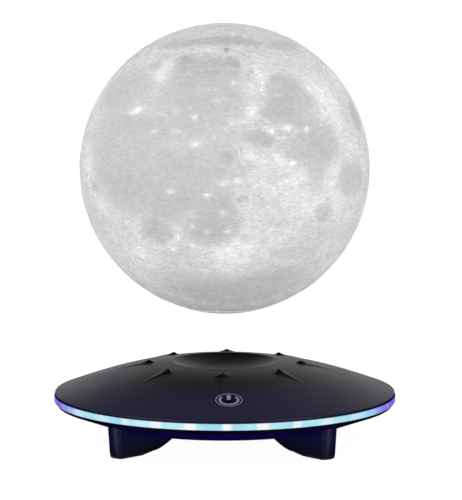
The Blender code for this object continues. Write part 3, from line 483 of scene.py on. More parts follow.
def plain_skins():
    """Finishes of the inner pieces, the screws and the pads."""
    rubber = Skin("rubber", specular=0.25)
    speckle = rubber.noise(1800, 3, 0.7)
    tone = rubber.mix(rubber.between(speckle, 0.35, 0.7), (0.006, 0.006, 0.007), (0.014, 0.014, 0.015))
    rubber.shade({
        "Base Color": tone,
        "Roughness": rubber.between(speckle, 0.3, 0.7, 0.78, 0.92),
        "Normal": rubber.bump(speckle, 0.4, 0.00004)})
    metals = {}
    for name, color, roughness in (("steel", (0.48, 0.49, 0.51), 0.3), ("nickel", (0.66, 0.64, 0.61), 0.18)):
        metal = Skin(name, color=color, metallic=1)
        scratch = metal.noise(900, 4, 0.65)
        gloss = metal.between(scratch, 0.3, 0.7, roughness - 0.06, roughness + 0.1)
        metal.shade({"Roughness": gloss})
        metals[name] = metal.material
    copper = Skin("copper", metallic=1)
    wave = copper.add("TexWave", {"Vector": copper.place(), "Scale": 1400, "Distortion": 0.4},
                      bands_direction="Z").outputs["Fac"]
    copper.shade({
        "Base Color": copper.mix(wave, (0.22, 0.07, 0.03), (0.72, 0.3, 0.15)),
        "Roughness": 0.32, "Normal": copper.bump(wave, 0.8, 0.0001)})
    board = Skin("board", specular=0.4)
    tracks = board.add("TexVoronoi", {"Vector": board.place(), "Scale": 420, "Randomness": 0.35},
                       distance="CHEBYCHEV").outputs["Distance"]
    line = board.between(tracks, 0.3, 0.34)
    board.shade({
        "Base Color": board.mix(line, (0.012, 0.085, 0.035), (0.02, 0.15, 0.06)),
        "Roughness": board.between(line, 0, 1, 0.35, 0.5),
        "Normal": board.bump(line, 0.4, 0.00003)})
    return {
        **metals,
        "rubber": rubber.material,
        "copper": copper.material,
        "board": board.material,
        "ferrite": moulded("ferrite", (0.035, 0.035, 0.038), (0.055, 0.055, 0.058), 0.55, 0.4,
                           900, 0.00005),
        "tray": moulded("tray", (0.08, 0.08, 0.09), (0.11, 0.11, 0.12), 0.5, 0.4),
        "inlet": moulded("inlet", (0.012, 0.012, 0.013), (0.02, 0.02, 0.021), 0.42, 0.4),
        "light_strip": moulded("strip", (0.62, 0.62, 0.6), (0.7, 0.7, 0.68), 0.45, 0.4),
        # The cup's glow is partly light from the lamp inside, partly painted fill light in the shade of the
        # base.
        "cup_plastic": moulded("cup", (0.55, 0.55, 0.55), (0.62, 0.62, 0.62), 0.48, 0.3, glow=0.44),
    }


# Top cover

def dome_line(steps):
    """The dome's line from its edge up to its inner end."""
    edge_angle = radians(DOME_EDGE_SLOPE)
    top_angle = radians(DOME_TOP_SLOPE)
    edge = (base_radius - COVER_STEP, band_top + SEAM + COVER_LIP_HEIGHT)
    top = (CREST_RADIUS + DOME_TOP_STEP, edge[1] + DOME_RISE)
    return bezier(edge, (edge[0] - DOME_REACH * cos(edge_angle), edge[1] + DOME_REACH * sin(edge_angle)),
                  (top[0] + DOME_REACH * cos(top_angle), top[1] - DOME_REACH * sin(top_angle)), top, steps)


dome_points = np.array(dome_line(400))[::-1]


def dome_height(radius):
    return np.interp(radius, dome_points[:, 0], dome_points[:, 1])


def dish_drop(radius, curve):
    return curve - sqrt(curve * curve - radius * radius)


def eased(share):
    """From 0 to 1 with a flat start and end."""
    share = np.clip(share, 0, 1)
    return share * share * (3 - 2 * share)


def fin_rise(radius, across):
    """Height of a fin over the dome, at a radius and a distance to the side of its ridge."""
    tip = CREST_RADIUS + DOME_TOP_STEP + FIN_TIP_GAP
    tail = tip + FIN_LENGTH
    shoulder = tip + FIN_SHOULDER_RUN
    peak = tip + FIN_PEAK_RUN
    narrowing = np.maximum((tail - radius) / (tail - shoulder), 0) ** FIN_SIDE_HOLLOW
    widening = np.minimum((radius - tip) / FIN_SHOULDER_RUN, narrowing)
    steep = 1 - eased((radius - peak) / FIN_STEEP_RUN)
    long = np.maximum((tail - radius) / (tail - peak), 0) ** FIN_TAIL_HOLLOW
    tailing = FIN_STEEP_SHARE * steep + (1 - FIN_STEEP_SHARE) * long
    swelling = np.minimum((radius - tip) / FIN_PEAK_RUN, tailing)
    inside = (widening > 0) & (np.abs(across) < FIN_HALF_WIDTH * widening)
    share = np.abs(across) / (FIN_HALF_WIDTH * np.maximum(widening, 1e-6))
    rise = FIN_HEIGHT * np.maximum(swelling, 0) * np.maximum(1 - share, 0) ** FIN_HOLLOW
    return np.where(inside, np.maximum(rise - FIN_SINK, 0), 0)


def cover_azimuths():
    """Close together across each fin, wider apart between fins."""
    pitch = 360 / FIN_COUNT
    half_dense = 9
    dense_steps = 40
    loose_steps = 9
    azimuths = []
    for fin in range(FIN_COUNT):
        middle = fin * pitch
        azimuths += spaced(middle - half_dense, middle + half_dense, dense_steps)
        azimuths += spaced(middle + half_dense, middle + pitch - half_dense, loose_steps)[1:-1]
    return azimuths


def make_cover(skin):
    edge = dome_points[-1]
    outer = edge[0]
    low = band_top + SEAM
    fin_tip = CREST_RADIUS + DOME_TOP_STEP + FIN_TIP_GAP
    fin_start = fin_tip - FIN_MARGIN
    fin_end = fin_tip + FIN_LENGTH + FIN_MARGIN
    radii = (spaced(outer, fin_end, 18)[1:] + spaced(fin_end, fin_start, 56)[1:]
             + spaced(fin_start, dome_points[0][0], 5)[1:])
    dome = [(radius, float(dome_height(radius))) for radius in radii]
    crest_level = dome_points[0][1] + CREST_RISE
    dish_radius = CREST_RADIUS - DISH_STEP
    dish_floor = crest_level - DISH_EDGE_DROP - dish_drop(dish_radius, DISH_CURVE)
    dish = [(radius, dish_floor + dish_drop(radius, DISH_CURVE)) for radius in spaced(dish_radius, 0, 16)]
    crest = rounded([dome[-1], (CREST_RADIUS, crest_level, CREST_ROUND), dish[0]], 10)
    edge_corner = rounded([(outer - UNIT, low), (outer, low, COVER_EDGE_ROUND),
                           (outer, edge[1], COVER_EDGE_ROUND), dome[0]], 4)
    outside = edge_corner[1:-1] + dome[:-1] + crest[:-1] + dish
    under_dish = [(radius, dish_floor - COVER_WALL + dish_drop(radius, DISH_CURVE + COVER_WALL))
                  for radius in spaced(0, dish_radius, 6)]
    under_dome = [(radius, float(dome_height(radius)) - COVER_WALL)
                  for radius in spaced(CREST_RADIUS + DOME_TOP_STEP, outer - DOME_UNDER_INSET, 10)]
    skirt_outer = outer - SKIRT_INSET
    skirt_inner = skirt_outer - SKIRT_WIDTH
    skirt_low = band_top + SKIRT_GAP
    under_rim = [(outer - SHELF_WIDTH, low), (skirt_inner, low), (skirt_inner, skirt_low),
                 (skirt_outer, skirt_low), (skirt_outer, low)]
    mesh = revolve(outside + under_dish + under_dome + under_rim, cover_azimuths())
    outer_count = len(cover_azimuths()) * (len(outside) - 1)
    places = np.array([vertex.co for vertex in mesh.vertices])
    radius = np.hypot(places[:, 0], places[:, 1])
    azimuth = np.degrees(np.arctan2(places[:, 1], places[:, 0]))
    pitch = 360 / FIN_COUNT
    off_ridge = np.radians((azimuth + pitch / 2) % pitch - pitch / 2)
    rise = fin_rise(radius * np.cos(off_ridge), radius * np.sin(off_ridge))
    rise[outer_count:] = 0
    places[:, 2] += rise
    mesh.vertices.foreach_set("co", places.ravel())
    cover = linked("top_cover_skin", mesh)
    cut(cover, drum(KEY_RADIUS + KEY_GAP, -KEY_THICKNESS - KEY_GAP, UNIT, key_place(), 96))
    finished(cover, skin, "base", ["top_cover"], sharp=80)


def key_place():
    """On the dome's face at the touch key; local -X runs up the slope."""
    circle = base_radius - KEY_INSET
    slope = (dome_height(circle - UNIT) - dome_height(circle + UNIT)) / (2 * UNIT)
    turn = Matrix.Rotation(radians(KEY_AZIMUTH), 4, "Z")
    return (Matrix.Translation(turn @ Vector((circle, 0, float(dome_height(circle))))) @ turn
            @ Matrix.Rotation(atan2(slope, 1), 4, "Y"))


def make_touch_key(key_skin, symbol_skin):
    disc = revolve(rounded([(0, -KEY_THICKNESS), (KEY_RADIUS, -KEY_THICKNESS),
                                          (KEY_RADIUS, 0, KEY_EDGE), (0, 0)], 4), around(96))
    disc.transform(key_place())
    finished(linked("touch_disc", disc), key_skin, "base", ["touch_key"])
    ring_inner, ring_outer = [KEY_RADIUS - inset for inset in SYMBOL_RING_INSETS]
    ring = rounded(rectangle(ring_inner, -SYMBOL_RISE, ring_outer, SYMBOL_RISE))
    arc_inner, arc_outer = [KEY_RADIUS - inset for inset in SYMBOL_ARC_INSETS]
    plan = (arc(arc_outer, SYMBOL_GAP - 180, 180 - SYMBOL_GAP, 56)
            + arc(arc_inner, 180 - SYMBOL_GAP, SYMBOL_GAP - 180, 56))
    half = SYMBOL_BAR_WIDTH / 2
    bar_end = SYMBOL_BAR_INSET - KEY_RADIUS
    bar_start = bar_end + SYMBOL_BAR_LENGTH
    bar = rounded(rectangle(bar_end, -half, bar_start, half, half / 2), closed=True)
    for name, mesh in (("symbol_ring", revolve(ring, around(96))),
                       ("symbol_arc", prism(plan, -SYMBOL_RISE, SYMBOL_RISE)),
                       ("symbol_bar", prism(bar, -SYMBOL_RISE, SYMBOL_RISE))):
        mesh.transform(key_place())
        made = linked(name, mesh)
        bevelled(made, SYMBOL_RISE / 2, 2)
        finished(made, symbol_skin, "base")


# Light ring

def lamp_skin():
    """A frosted band with a white spot at each lamp, cyan in front and behind, violet at the sides, and
    painted seam shade along its bottom and top edges.
    """
    skin = Skin("lit_band", roughness=0.4, specular=0)
    math, between = skin.math, skin.between
    axes = skin.add("SeparateXYZ", {"Vector": skin.place()}).outputs
    azimuth = math("ARCTAN2", axes["Y"], axes["X"])
    from_first = math("SUBTRACT", azimuth, radians(LED_FIRST_AZIMUTH))
    lamps = math("DIVIDE", from_first, 2 * pi / LED_COUNT)
    nearest = math("ABSOLUTE", math("SUBTRACT", lamps, math("ROUND", lamps)))
    cloud = skin.noise(60, 3, 0.6)
    width = between(cloud, 0.3, 0.7, *SPOT_WIDTH_SHARES)
    spot = between(math("SUBTRACT", width, nearest), 0, SPOT_SOFT_SHARE, kind="SMOOTHSTEP")
    side = math("ABSOLUTE", math("DIVIDE", axes["X"], base_radius))
    violet = between(side, *VIOLET_SHARES, kind="SMOOTHSTEP")
    band = skin.mix(between(cloud, 0.4, 0.65), *BAND_CYAN)
    band = skin.mix(violet, band, BAND_VIOLET)
    share = math("MULTIPLY", spot, between(side, *SPOT_FADE_SHARES, 1, SPOT_AT_SIDE))
    lit = skin.mix(share, band, (1, 1, 1))
    # Dark navy at the band's bottom and top edges: painted shade of the seams.
    low_edge = between(axes["Z"], band_level, band_level + BAND_EDGE_LOW, 1, 0, "SMOOTHSTEP")
    top_edge = between(axes["Z"], band_top - BAND_EDGE_TOP, band_top - BAND_DARK_TOP, kind="SMOOTHSTEP")
    lit = skin.mix(math("MAXIMUM", low_edge, top_edge), lit, BAND_SEAM_SHADE)
    skin.shade({"Base Color": (0.004, 0.004, 0.01), "Emission Color": lit,
                           "Emission Strength": BAND_GLOW})
    return skin.material


def make_light_ring(skin):
    inner = base_radius - RING_WIDTH
    outline = rounded([(inner, band_level), (base_radius, band_level, RING_EDGE_ROUND),
                       (base_radius, band_top, RING_EDGE_ROUND), (inner, band_top)], 5)
    mesh = revolve(outline, around(384))
    finished(linked("light_band", mesh), skin, "base", ["light_ring"])


# Lower shell

def shell_outline(floor_level):
    """The wall, from the axis along the floor and the flare to the lip, and back inside."""
    lip_radius = base_radius - LIP_STEP
    lip_top = band_level - FIT
    floor_radius = base_radius - FLOOR_INSET
    rise = FLARE_RISE / (lip_radius - floor_radius)
    lift = SHELL_WALL * sqrt(1 + rise * rise)
    wall_outer = base_radius - STRIP_WALL_INSET
    wall_inner = wall_outer - STRIP_WALL
    wall_top = band_top - STRIP_WALL_DROP

    def inside(radius):
        return floor_level + lift + (radius - floor_radius) * rise

    return rounded([(0, floor_level), (floor_radius, floor_level, FLOOR_EDGE_ROUND),
                    (lip_radius, lip_top - LIP_HEIGHT, LIP_EDGE_ROUND),
                    (lip_radius, lip_top, LIP_EDGE_ROUND),
                    (floor_radius + (lip_top - floor_level - lift) / rise, lip_top),
                    (wall_outer, inside(wall_outer)), (wall_outer, wall_top),
                    (wall_inner, wall_top), (wall_inner, inside(wall_inner)),
                    (floor_radius + (SHELL_WALL - lift) / rise, floor_level + SHELL_WALL),
                    (0, floor_level + SHELL_WALL)], 5)


def box_plan(low, high, grown, corner=0):
    """The plan of a node's box, grown on all sides."""
    sides = low.x - grown, low.y - grown, high.x + grown, high.y + grown
    return rounded(rectangle(*sides, corner), closed=True)


def make_lower_shell(skin, floor_level):
    """The shell with its inlet pod, the plug's hole and the holes of the screws."""
    mesh = revolve(shell_outline(floor_level), around(256))
    shell = linked("lower_shell_skin", mesh)
    floor_top = floor_level + SHELL_WALL
    jack_low, jack_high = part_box("dc_jack")
    pod_grown = FIT + POD_WALL
    pod = linked("pod", prism(box_plan(jack_low, jack_high, pod_grown, POD_CORNER_ROUND),
                              jack_low.z - pod_grown, floor_level + SHELL_WALL / 2))
    bevelled(pod, POD_EDGE_ROUND)
    cut(shell, pod, "UNION")
    cavity = linked("cavity", prism(box_plan(jack_low, jack_high, FIT),
                                    jack_low.z - FIT, floor_top + UNIT))
    cut(shell, cavity)
    mouth = Matrix.Translation((0, jack_high.y, jack_low.z + JACK_AXIS_HEIGHT))
    lying = mouth @ Matrix.Rotation(radians(-90), 4, "X")
    cut(shell, drum(PLUG_HOLE_RADIUS, -UNIT, pod_grown + UNIT, lying))
    for kind in ("cover_screw_", "leg_screw_"):
        for number in range(1, 5):
            low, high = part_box(kind + str(number))
            middle = Matrix.Translation(((low.x + high.x) / 2, (low.y + high.y) / 2, floor_level))
            cut(shell, drum(SCREW_SHANK_RADIUS + FIT, -UNIT, SHELL_WALL + UNIT, middle))
            if kind == "cover_screw_":
                cut(shell, drum((high.x - low.x) / 2 + FIT, -UNIT, COUNTERBORE_DEPTH, middle))
    finished(shell, skin, "base", ["bottom_shell"])


# Legs and pads

def leg_outline(sole_level, floor_level):
    floor_radius = base_radius - FLOOR_INSET
    flare = FLARE_RISE / (base_radius - LIP_STEP - floor_radius)
    top = floor_level + LEG_SINK
    reach = floor_radius + LEG_OVERHANG
    end_top = top + (reach - floor_radius) * flare
    sole_start = reach - LEG_SOLE_LENGTH
    tip = reach - LEG_LENGTH
    tip_low = top - LEG_TIP_DEPTH
    drop = LEG_BELLY_REACH * tan(radians(LEG_BELLY_SLOPE))
    belly = bezier((sole_start, sole_level), (sole_start - LEG_BELLY_REACH, sole_level),
                   (tip + LEG_BELLY_REACH, tip_low - drop), (tip, tip_low), 20)
    return rounded([(tip, top), (floor_radius, top), (reach, end_top),
                    (reach - LEG_END_DRAFT, sole_level, LEG_TOE_ROUND), belly[0]]) + belly[1:]


def leg_mould(outline, sole_level, inset):
    """Plan shape of a leg, with a bowed end face, leaning with it."""
    reach = max(x for x, _ in outline) - inset
    end_top = max(y for x, y in outline if x > reach - UNIT)
    tip = min(x for x, _ in outline) - UNIT
    half = LEG_THICKNESS / 2 - inset
    end_radius = LEG_END_RADIUS - inset
    turn = np.degrees(np.arcsin(half / end_radius))
    end = arc(end_radius, -turn, turn, 16, (reach - end_radius, 0))
    for corner in (0, -1):
        end[corner] = (*end[corner], LEG_CORNER_ROUND)
    plan = rounded([(tip, -half)] + end + [(tip, half)], closed=True)
    mesh = prism(plan, -UNIT, end_top + UNIT)
    lean = LEG_END_DRAFT / (end_top - sole_level)
    for vertex in mesh.vertices:
        vertex.co.x -= (end_top - vertex.co.z) * lean
    return linked("mould", mesh)


def make_upright(name, outline):
    """A side outline, extruded to the thickness of a leg."""
    mesh = prism(outline, -LEG_THICKNESS, LEG_THICKNESS)
    mesh.transform(Matrix.Rotation(radians(90), 4, "X"))
    return linked(name, mesh)


def make_feet(leg_skin, pad_skin, floor_level):
    for name, azimuth in LEG_AZIMUTHS.items():
        pad_low, pad_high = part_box("foot_pad_" + name)
        sole_level = pad_high.z + FIT
        outline = leg_outline(sole_level, floor_level)
        leg = make_upright("leg_skin_" + name, outline)
        cut(leg, leg_mould(outline, sole_level, 0), "INTERSECT")
        bevelled(leg, LEG_EDGE_ROUND, 4, 50)
        reach = max(x for x, _ in outline)
        start = reach - LEG_SOLE_LENGTH
        bend = (start + PAD_SLOPE_RUN, pad_low.z, PAD_BEND_ROUND)
        sole = rounded([(start - PAD_TOP_RUN, sole_level), bend, (reach, pad_low.z),
                        (reach, sole_level)], 8)
        pad = make_upright("pad_skin_" + name, sole)
        cut(pad, leg_mould(outline, sole_level, PAD_INSET), "INTERSECT")
        bevelled(pad, PAD_EDGE_ROUND, 3, 50)
        for made in (leg, pad):
            made.data.transform(Matrix.Rotation(radians(azimuth), 4, "Z"))
        finished(leg, leg_skin, "base", ["leg_" + name])
        finished(pad, pad_skin, "base", ["foot_pad_" + name])


# Moon globe

# The moon's face as the photograph shows it, read off the picture. Each patch has its middle, half width
# and half height in the photograph's pixels, and how much darker or lighter it is
PHOTO_GLOBE = (228.1, 167.8, 146.5, 143)  # middle and half sizes of the globe there
SEEN_GLOBE = (225, 167.3, 145.2)  # middle and radius from the camera, in pixels
SEEN_RADIUS = 0.075
SEEN_RISE = 0.0427  # its middle above the camera's aim
LIMB_SHARE = 0.985
SMALLEST_SPOT = 0.9  # half size, in degrees
DARK_PLAINS = [
    (205, 72, 38, 17, 1), (187, 62, 10, 6, 1.05), (205, 100, 48, 26, 0.62), (236, 66, 9, 9, 1),
    (228, 51, 3.6, 2.4, 1.6), (225, 41, 40, 4.5, 0.8), (175, 47, 16, 4, 0.5), (290, 46, 20, 6, 0.5),
    (125, 88, 34, 26, 0.6), (157, 66, 6, 4, 0.8), (120, 145, 34, 40, 0.55), (135, 185, 42, 30, 0.75),
    (170, 160, 60, 30, 0.5), (190, 130, 50, 20, 0.45), (185, 190, 45, 35, 0.6), (215, 222, 30, 24, 0.85),
    (221, 232, 20, 12, 1.05), (222, 205, 14, 14, 0.8), (158, 230, 16, 13, 0.95), (170, 212, 10, 6, 0.9),
    (150, 200, 25, 14, 0.5), (295, 97, 28, 23, 0.85), (285, 112, 22, 11, 0.95), (285, 80, 14, 6, 0.9),
    (322, 145, 24, 24, 0.75), (300, 150, 18, 14, 0.7), (321, 177, 7, 17, 0.65), (305, 122, 14, 10, 0.7),
    (361, 118, 7, 17, 0.95), (357, 178, 12, 18, 0.6), (330, 210, 9, 11, 0.7), (312, 185, 8, 5, 0.65),
    (262, 136, 18, 8, 0.75), (270, 142, 8, 4, 0.95), (232, 157, 8, 6, 0.95), (232, 170, 20, 10, 0.6),
    (96, 185, 3.2, 5, 1.2), (88, 176, 1.8, 1.8, 1), (247, 197, 6, 3.5, 0.85), (266, 199, 6, 4, 0.45),
    (182, 196, 3, 7, 0.95), (235, 290, 70, 14, 0.55), (275, 278, 22, 4, 0.8), (300, 252, 25, 6, 0.45),
]
PALE_GROUND = [
    (199, 145, 6, 4, 2.4), (185, 142, 26, 10, 0.5), (139, 102, 5, 4, 0.6), (170, 68, 8, 10, 0.9),
    (163, 78, 8, 6, 0.7), (195, 50, 30, 3, 0.5), (245, 50, 6, 3, 0.9), (268, 78, 6, 6, 1.3),
    (260, 70, 4, 8, 0.7), (268, 60, 12, 6, 0.6), (252, 92, 7, 8, 0.6), (267, 90, 3, 6, 1.3),
    (255, 113, 5, 5, 1.9), (262, 107, 8, 4, 0.8), (245, 105, 12, 6, 0.4), (240, 122, 10, 3, 0.8),
    (228, 128, 6, 1.5, 0.8), (300, 131, 8, 2, 0.8), (280, 120, 10, 2.5, 0.6), (325, 95, 14, 14, 1.1),
    (312, 88, 5, 5, 1.3), (335, 108, 10, 10, 0.8), (345, 125, 7, 10, 1), (358, 146, 8, 12, 1),
    (340, 75, 14, 14, 0.5), (338, 180, 8, 16, 0.8), (342, 200, 12, 12, 0.5), (352, 215, 10, 10, 0.4),
    (255, 155, 6, 4, 1), (265, 160, 12, 6, 0.7), (283, 160, 10, 8, 0.9), (290, 140, 8, 6, 0.5),
    (290, 200, 45, 30, 0.75), (303, 180, 18, 8, 0.8), (310, 210, 10, 12, 0.8), (235, 253, 18, 14, 1.4),
    (255, 245, 22, 8, 0.9), (215, 255, 20, 6, 0.5), (280, 232, 30, 6, 0.6), (130, 235, 30, 16, 0.4),
    (142, 252, 8, 8, 0.7), (90, 165, 5, 22, 1), (105, 200, 8, 14, 0.8), (193, 215, 6, 5, 0.9),
    (175, 228, 8, 5, 0.5),
]
PALE_SPOTS = [
    (156, 132, 3, 2, 1.5), (178, 131, 5, 2, 2), (140, 110, 3.5, 2, 4.4), (134, 113, 5, 1, 2.7),
    (198, 117, 3, 2, 2.5), (178, 111, 2.4, 2, 1.4), (219, 101, 4, 1.8, 1), (237, 84, 2.4, 2.2, 2),
    (275, 132, 3, 2.5, 3.7), (292, 128, 5, 2.5, 2.7), (311, 130, 2.4, 2, 3.1), (297, 163, 3, 2.4, 3.7),
    (226, 183, 5, 2, 1.7), (240, 180, 3, 2, 2), (209, 195, 4, 2, 2.2), (173, 191, 4, 2, 2.5),
    (195, 226, 3, 2, 2), (180, 236, 3, 3, 1.7), (210, 231, 3, 1.6, 1.7), (230, 231, 3, 1.6, 1.7),
    (226, 212, 4, 2, 1.7), (176, 248, 3, 2, 2), (196, 245, 2.4, 2.4, 1.7),
]
# The same on the far side: east and north of the front, and half sizes, in degrees
FAR_PLAINS = [(-95, -20, 8, 7, 0.8), (148, 27, 7, 6, 0.7), (-170, -33, 9, 7, 0.6),
              (92, -3, 6, 8, 0.7), (88, 13, 5, 6, 0.7)]
# Shade toward the poles: side, start, run and depth; and a slanting streak. In shares of the radius
POLE_SHADE_SHARES = ((-1, 0.66, 0.12, 0.05), (1, 0.68, 0.16, 0.06))
STREAK_PLACE_SHARES = (0.45, -0.62)
STREAK_REACH_SHARES = (0.3, 0.05)
STREAK_SLANT = 0.25
STREAK_DEPTH = 0.05
# Craters, in degrees: smallest, spread and largest half size, and the size that has the depth
CRATER_COUNT = 900
CRATER_SEED = 11
SHORE_SEED = 3
CRATER_SIZES = (0.55, 0.5, 5)
CRATER_TAIL = 1.9
CRATER_DEPTH = 0.00045
CRATER_DEPTH_SIZE = 2.5
CRATER_DEPTH_POWER = 0.6
CRATER_RIM_SHARES = (0.4, 0.22)  # height and width
CRATERS_KEPT_OFF_PLAINS = 0.75


def cup_radius():
    return (cup_high.x - cup_low.x) / 2


def globe_rings(radius, steps):
    """Rings of places at a distance from the globe's middle, from the neck up to the top."""
    lowest = -degrees(acos((cup_radius() + NECK_GAP) / radius))
    return turned(arc(radius, lowest, 90, steps), [azimuth - 90 for azimuth in around(MOON_COLUMNS)])


def seen_place(x, y):
    """East and north on the globe, in degrees, of what the photograph shows at a pixel."""
    middle_x, middle_y, half_width, half_height = PHOTO_GLOBE
    seen_x, seen_y, seen_radius = SEEN_GLOBE
    across, down = (x - middle_x) / half_width, (y - middle_y) / half_height
    scale = seen_radius * LIMB_SHARE / max(hypot(across, down), LIMB_SHARE)
    axes = camera_axes()
    ray = np.array((seen_x + across * scale - PICTURE_SIZE[0] / 2,
                    PICTURE_SIZE[1] / 2 - seen_y - down * scale,
                    -CAMERA_LENS / CAMERA_SENSOR * PICTURE_SIZE[1])) @ axes
    ray /= np.linalg.norm(ray)
    middle = np.array((-CAMERA_AIM[0], 0, SEEN_RISE)) - axes[2] * CAMERA_DISTANCE
    nearest = middle @ ray
    depth = nearest - sqrt(max(SEEN_RADIUS ** 2 - middle @ middle + nearest ** 2, 0))
    x, y, z = (ray * depth - middle) / np.linalg.norm(ray * depth - middle)
    return degrees(atan2(x, -y)), degrees(asin(z))


def patch(x, y, half_width, half_height, amount, smallest=0):
    """A patch of the photograph on the globe: east, north and half sizes, to a tenth of a degree."""
    east, north = seen_place(x, y)
    wide = (seen_place(x + half_width, y)[0] - seen_place(x - half_width, y)[0]) / 2 * cos(radians(north))
    high = (seen_place(x, y - half_height)[1] - seen_place(x, y + half_height)[1]) / 2
    return *(round(angle, 1) for angle in (east, north, max(wide, smallest), max(high, smallest))), amount


def facing(east, north):
    """Unit vectors at a place on the globe: outwards, east and north."""
    lon, lat = radians(east), radians(north)
    out = np.array([cos(lat) * sin(lon), -cos(lat) * cos(lon), sin(lat)])
    right = np.array([cos(lon), sin(lon), 0])
    return out, right, np.cross(out, right)


def wandering(points):
    """The points, each moved by smooth noise, so that the shores of the plains wander."""
    noise.seed_set(SHORE_SEED)
    moved = points.copy()
    for scale, octaves, reach in SHORE_WANDER:
        shifts = [noise.turbulence_vector(Vector(point) * scale, octaves, False)
                  for point in points.tolist()]
        moved += reach * np.array(shifts)
    return moved / np.linalg.norm(moved, axis=1)[:, None]


def measured(points, patches):
    """For each patch: which points are on its side, how far they are from its middle (1 at its edge),
    and its last column."""
    for east, north, wide, high, amount in patches:
        out, right, up = facing(east, north)
        reach = np.hypot(points @ right / sin(radians(wide)), points @ up / sin(radians(high)))
        yield points @ out > 0, reach, amount


def spread_field(points, patches):
    """For each point, how deep it lies inside the nearest patch (1 at its middle, 0 at its edge,
    negative outside), and the last column of the patches weighted by nearness."""
    far_out = -4
    depth = np.full(len(points), far_out)
    total = np.zeros(len(points))
    weight = np.full(len(points), 1e-9)
    for ahead, reach, amount in measured(points, patches):
        inside = np.where(ahead, 1 - reach, far_out)
        near = np.exp(4 * np.clip(inside, -3, 1))
        total += near * amount
        weight += near
        depth = np.logaddexp(8 * depth, 8 * inside) / 8
    return depth, total / weight


def soft_patches(points, patches):
    """Sum of soft round patches."""
    return sum(np.where(ahead, amount * np.exp(-reach ** 2), 0)
               for ahead, reach, amount in measured(points, patches))


def crater_relief(points, mare):
    """Bowls and rims of many craters, mostly outside the dark plains."""
    random = np.random.default_rng(CRATER_SEED)
    relief = np.zeros(len(points))
    smallest, spread, largest = CRATER_SIZES
    rim_height, rim_width = CRATER_RIM_SHARES
    for _ in range(CRATER_COUNT):
        out = random.normal(size=3)
        out /= np.linalg.norm(out)
        size = min(smallest + spread * random.pareto(CRATER_TAIL), largest)
        near = np.flatnonzero(points @ out > cos(radians(2 * size)))
        if len(near) == 0 or mare[near].max() > 0.25 and random.random() < CRATERS_KEPT_OFF_PLAINS:
            continue
        away = np.arccos(np.clip(points[near] @ out, -1, 1)) / radians(size)
        depth = CRATER_DEPTH * (size / CRATER_DEPTH_SIZE) ** CRATER_DEPTH_POWER
        bowl = np.where(away < 1, (away ** 2 - 1) * depth, 0)
        relief[near] += bowl + rim_height * depth * np.exp(-((away - 1) / rim_width) ** 2)
    return relief


def moon_skin():
    """Grey ground from mare and pale fields kept on the mesh, broken up by noise of several sizes, and
    lit a little from inside, partly by painted light that evens the shading and fills the shade at the
    bottom."""
    skin = Skin("moon", specular=0.12)
    math, between = skin.math, skin.between
    place = skin.place()
    x, y, z = skin.add("SeparateXYZ", {"Vector": place}).outputs
    flat, flatter = (skin.add("CombineXYZ", {0: x, 1: y, 2: math("MULTIPLY", z, squeeze)}).outputs[0]
                     for squeeze in (1.8, 3.8))
    mare, darkness, pale, streaks = (skin.add("Attribute", attribute_name=name).outputs["Fac"]
                                     for name in ("mare", "darkness", "pale", "streaks"))
    broad = skin.noise(46, 6, 0.62, flat)
    ragged = skin.noise(170, 4, 0.7, flat, 0.6)
    fine = skin.noise(480, 1.5, 0.6, flat)
    grain = skin.noise(300, 2, 0.6, flatter)
    shore = math("ADD", mare, between(ragged, 0.25, 0.75, -0.3, 0.3))
    shore = math("ADD", shore, between(fine, 0.25, 0.75, -0.22, 0.22))
    plain = between(shore, -0.1, 0.1, kind="SMOOTHSTEP")
    deeper = between(mare, 0, 0.7, 0.75, 1.05)
    dark = math("MULTIPLY", math("MULTIPLY", plain, darkness), deeper)
    tone = math("MULTIPLY_ADD", dark, -PLAIN_DARKNESS, MOON_TONE)
    glow = math("MULTIPLY", pale, between(ragged, 0.3, 0.75, 0.5, 1.4))
    tone = math("MULTIPLY_ADD", glow, PALE_LIGHT, tone)
    hills = math("SUBTRACT", 1, math("ABSOLUTE", between(ragged, 0.2, 0.8, -1, 1)))
    ridges = between(hills, 0.86, 1, kind="SMOOTHSTEP")
    coast = between(math("ABSOLUTE", math("ADD", mare, 0.15)), 0.05, 0.42, 1, 0.12)
    tone = math("MULTIPLY_ADD", math("MULTIPLY", ridges, coast), RIDGE_LIGHT, tone)
    rough_share = between(plain, 0, 1, 1, 0.6)
    for cloud, low, high in ((broad, -0.04, 0.03), (ragged, -0.05, 0.05), (grain, -0.055, 0.055),
                             (fine, -0.035, 0.035)):
        swing = between(cloud, 0.3, 0.7, low, high)
        tone = math("MULTIPLY_ADD", swing, rough_share, tone)
    clusters = math("ADD", between(broad, 0.48, 0.64, 0, 0.8), pale)
    specks = between(fine, 0.58, 0.72, 0, SPECK_LIGHT, "SMOOTHSTEP")
    tone = math("MULTIPLY_ADD", specks, clusters, tone)
    tone = math("ADD", tone, streaks)
    # Emission: the lamps inside plus painted light, strongest at the bottom where the base casts shade.
    glow_and_fill = between(z, globe_level - globe_radius, globe_level - MOON_GLOW_TOP_SHARE * globe_radius,
                               MOON_BOTTOM_FILL_GLOW, MOON_GLOW_AND_FILL)
    shown, lit = (skin.add("CombineColor", {0: value, 1: value, 2: value}).outputs[0]
                  for value in (math("MULTIPLY", tone, 1 - MOON_GLOW_AND_FILL), tone))
    pits = skin.add("TexVoronoi", {"Vector": place, "Scale": 380}, feature="SMOOTH_F1").outputs["Distance"]
    ground = math("ADD", between(pits, 0, 0.5, -0.5, 0.2), fine)
    skin.shade({
        "Base Color": shown, "Emission Color": lit, "Emission Strength": glow_and_fill,
        "Roughness": between(fine, 0.3, 0.7, 0.72, 0.88),
        "Normal": skin.bump(ground, 0.35, 0.00012)})
    skin.material.cycles.emission_sampling = "NONE"
    return skin.material


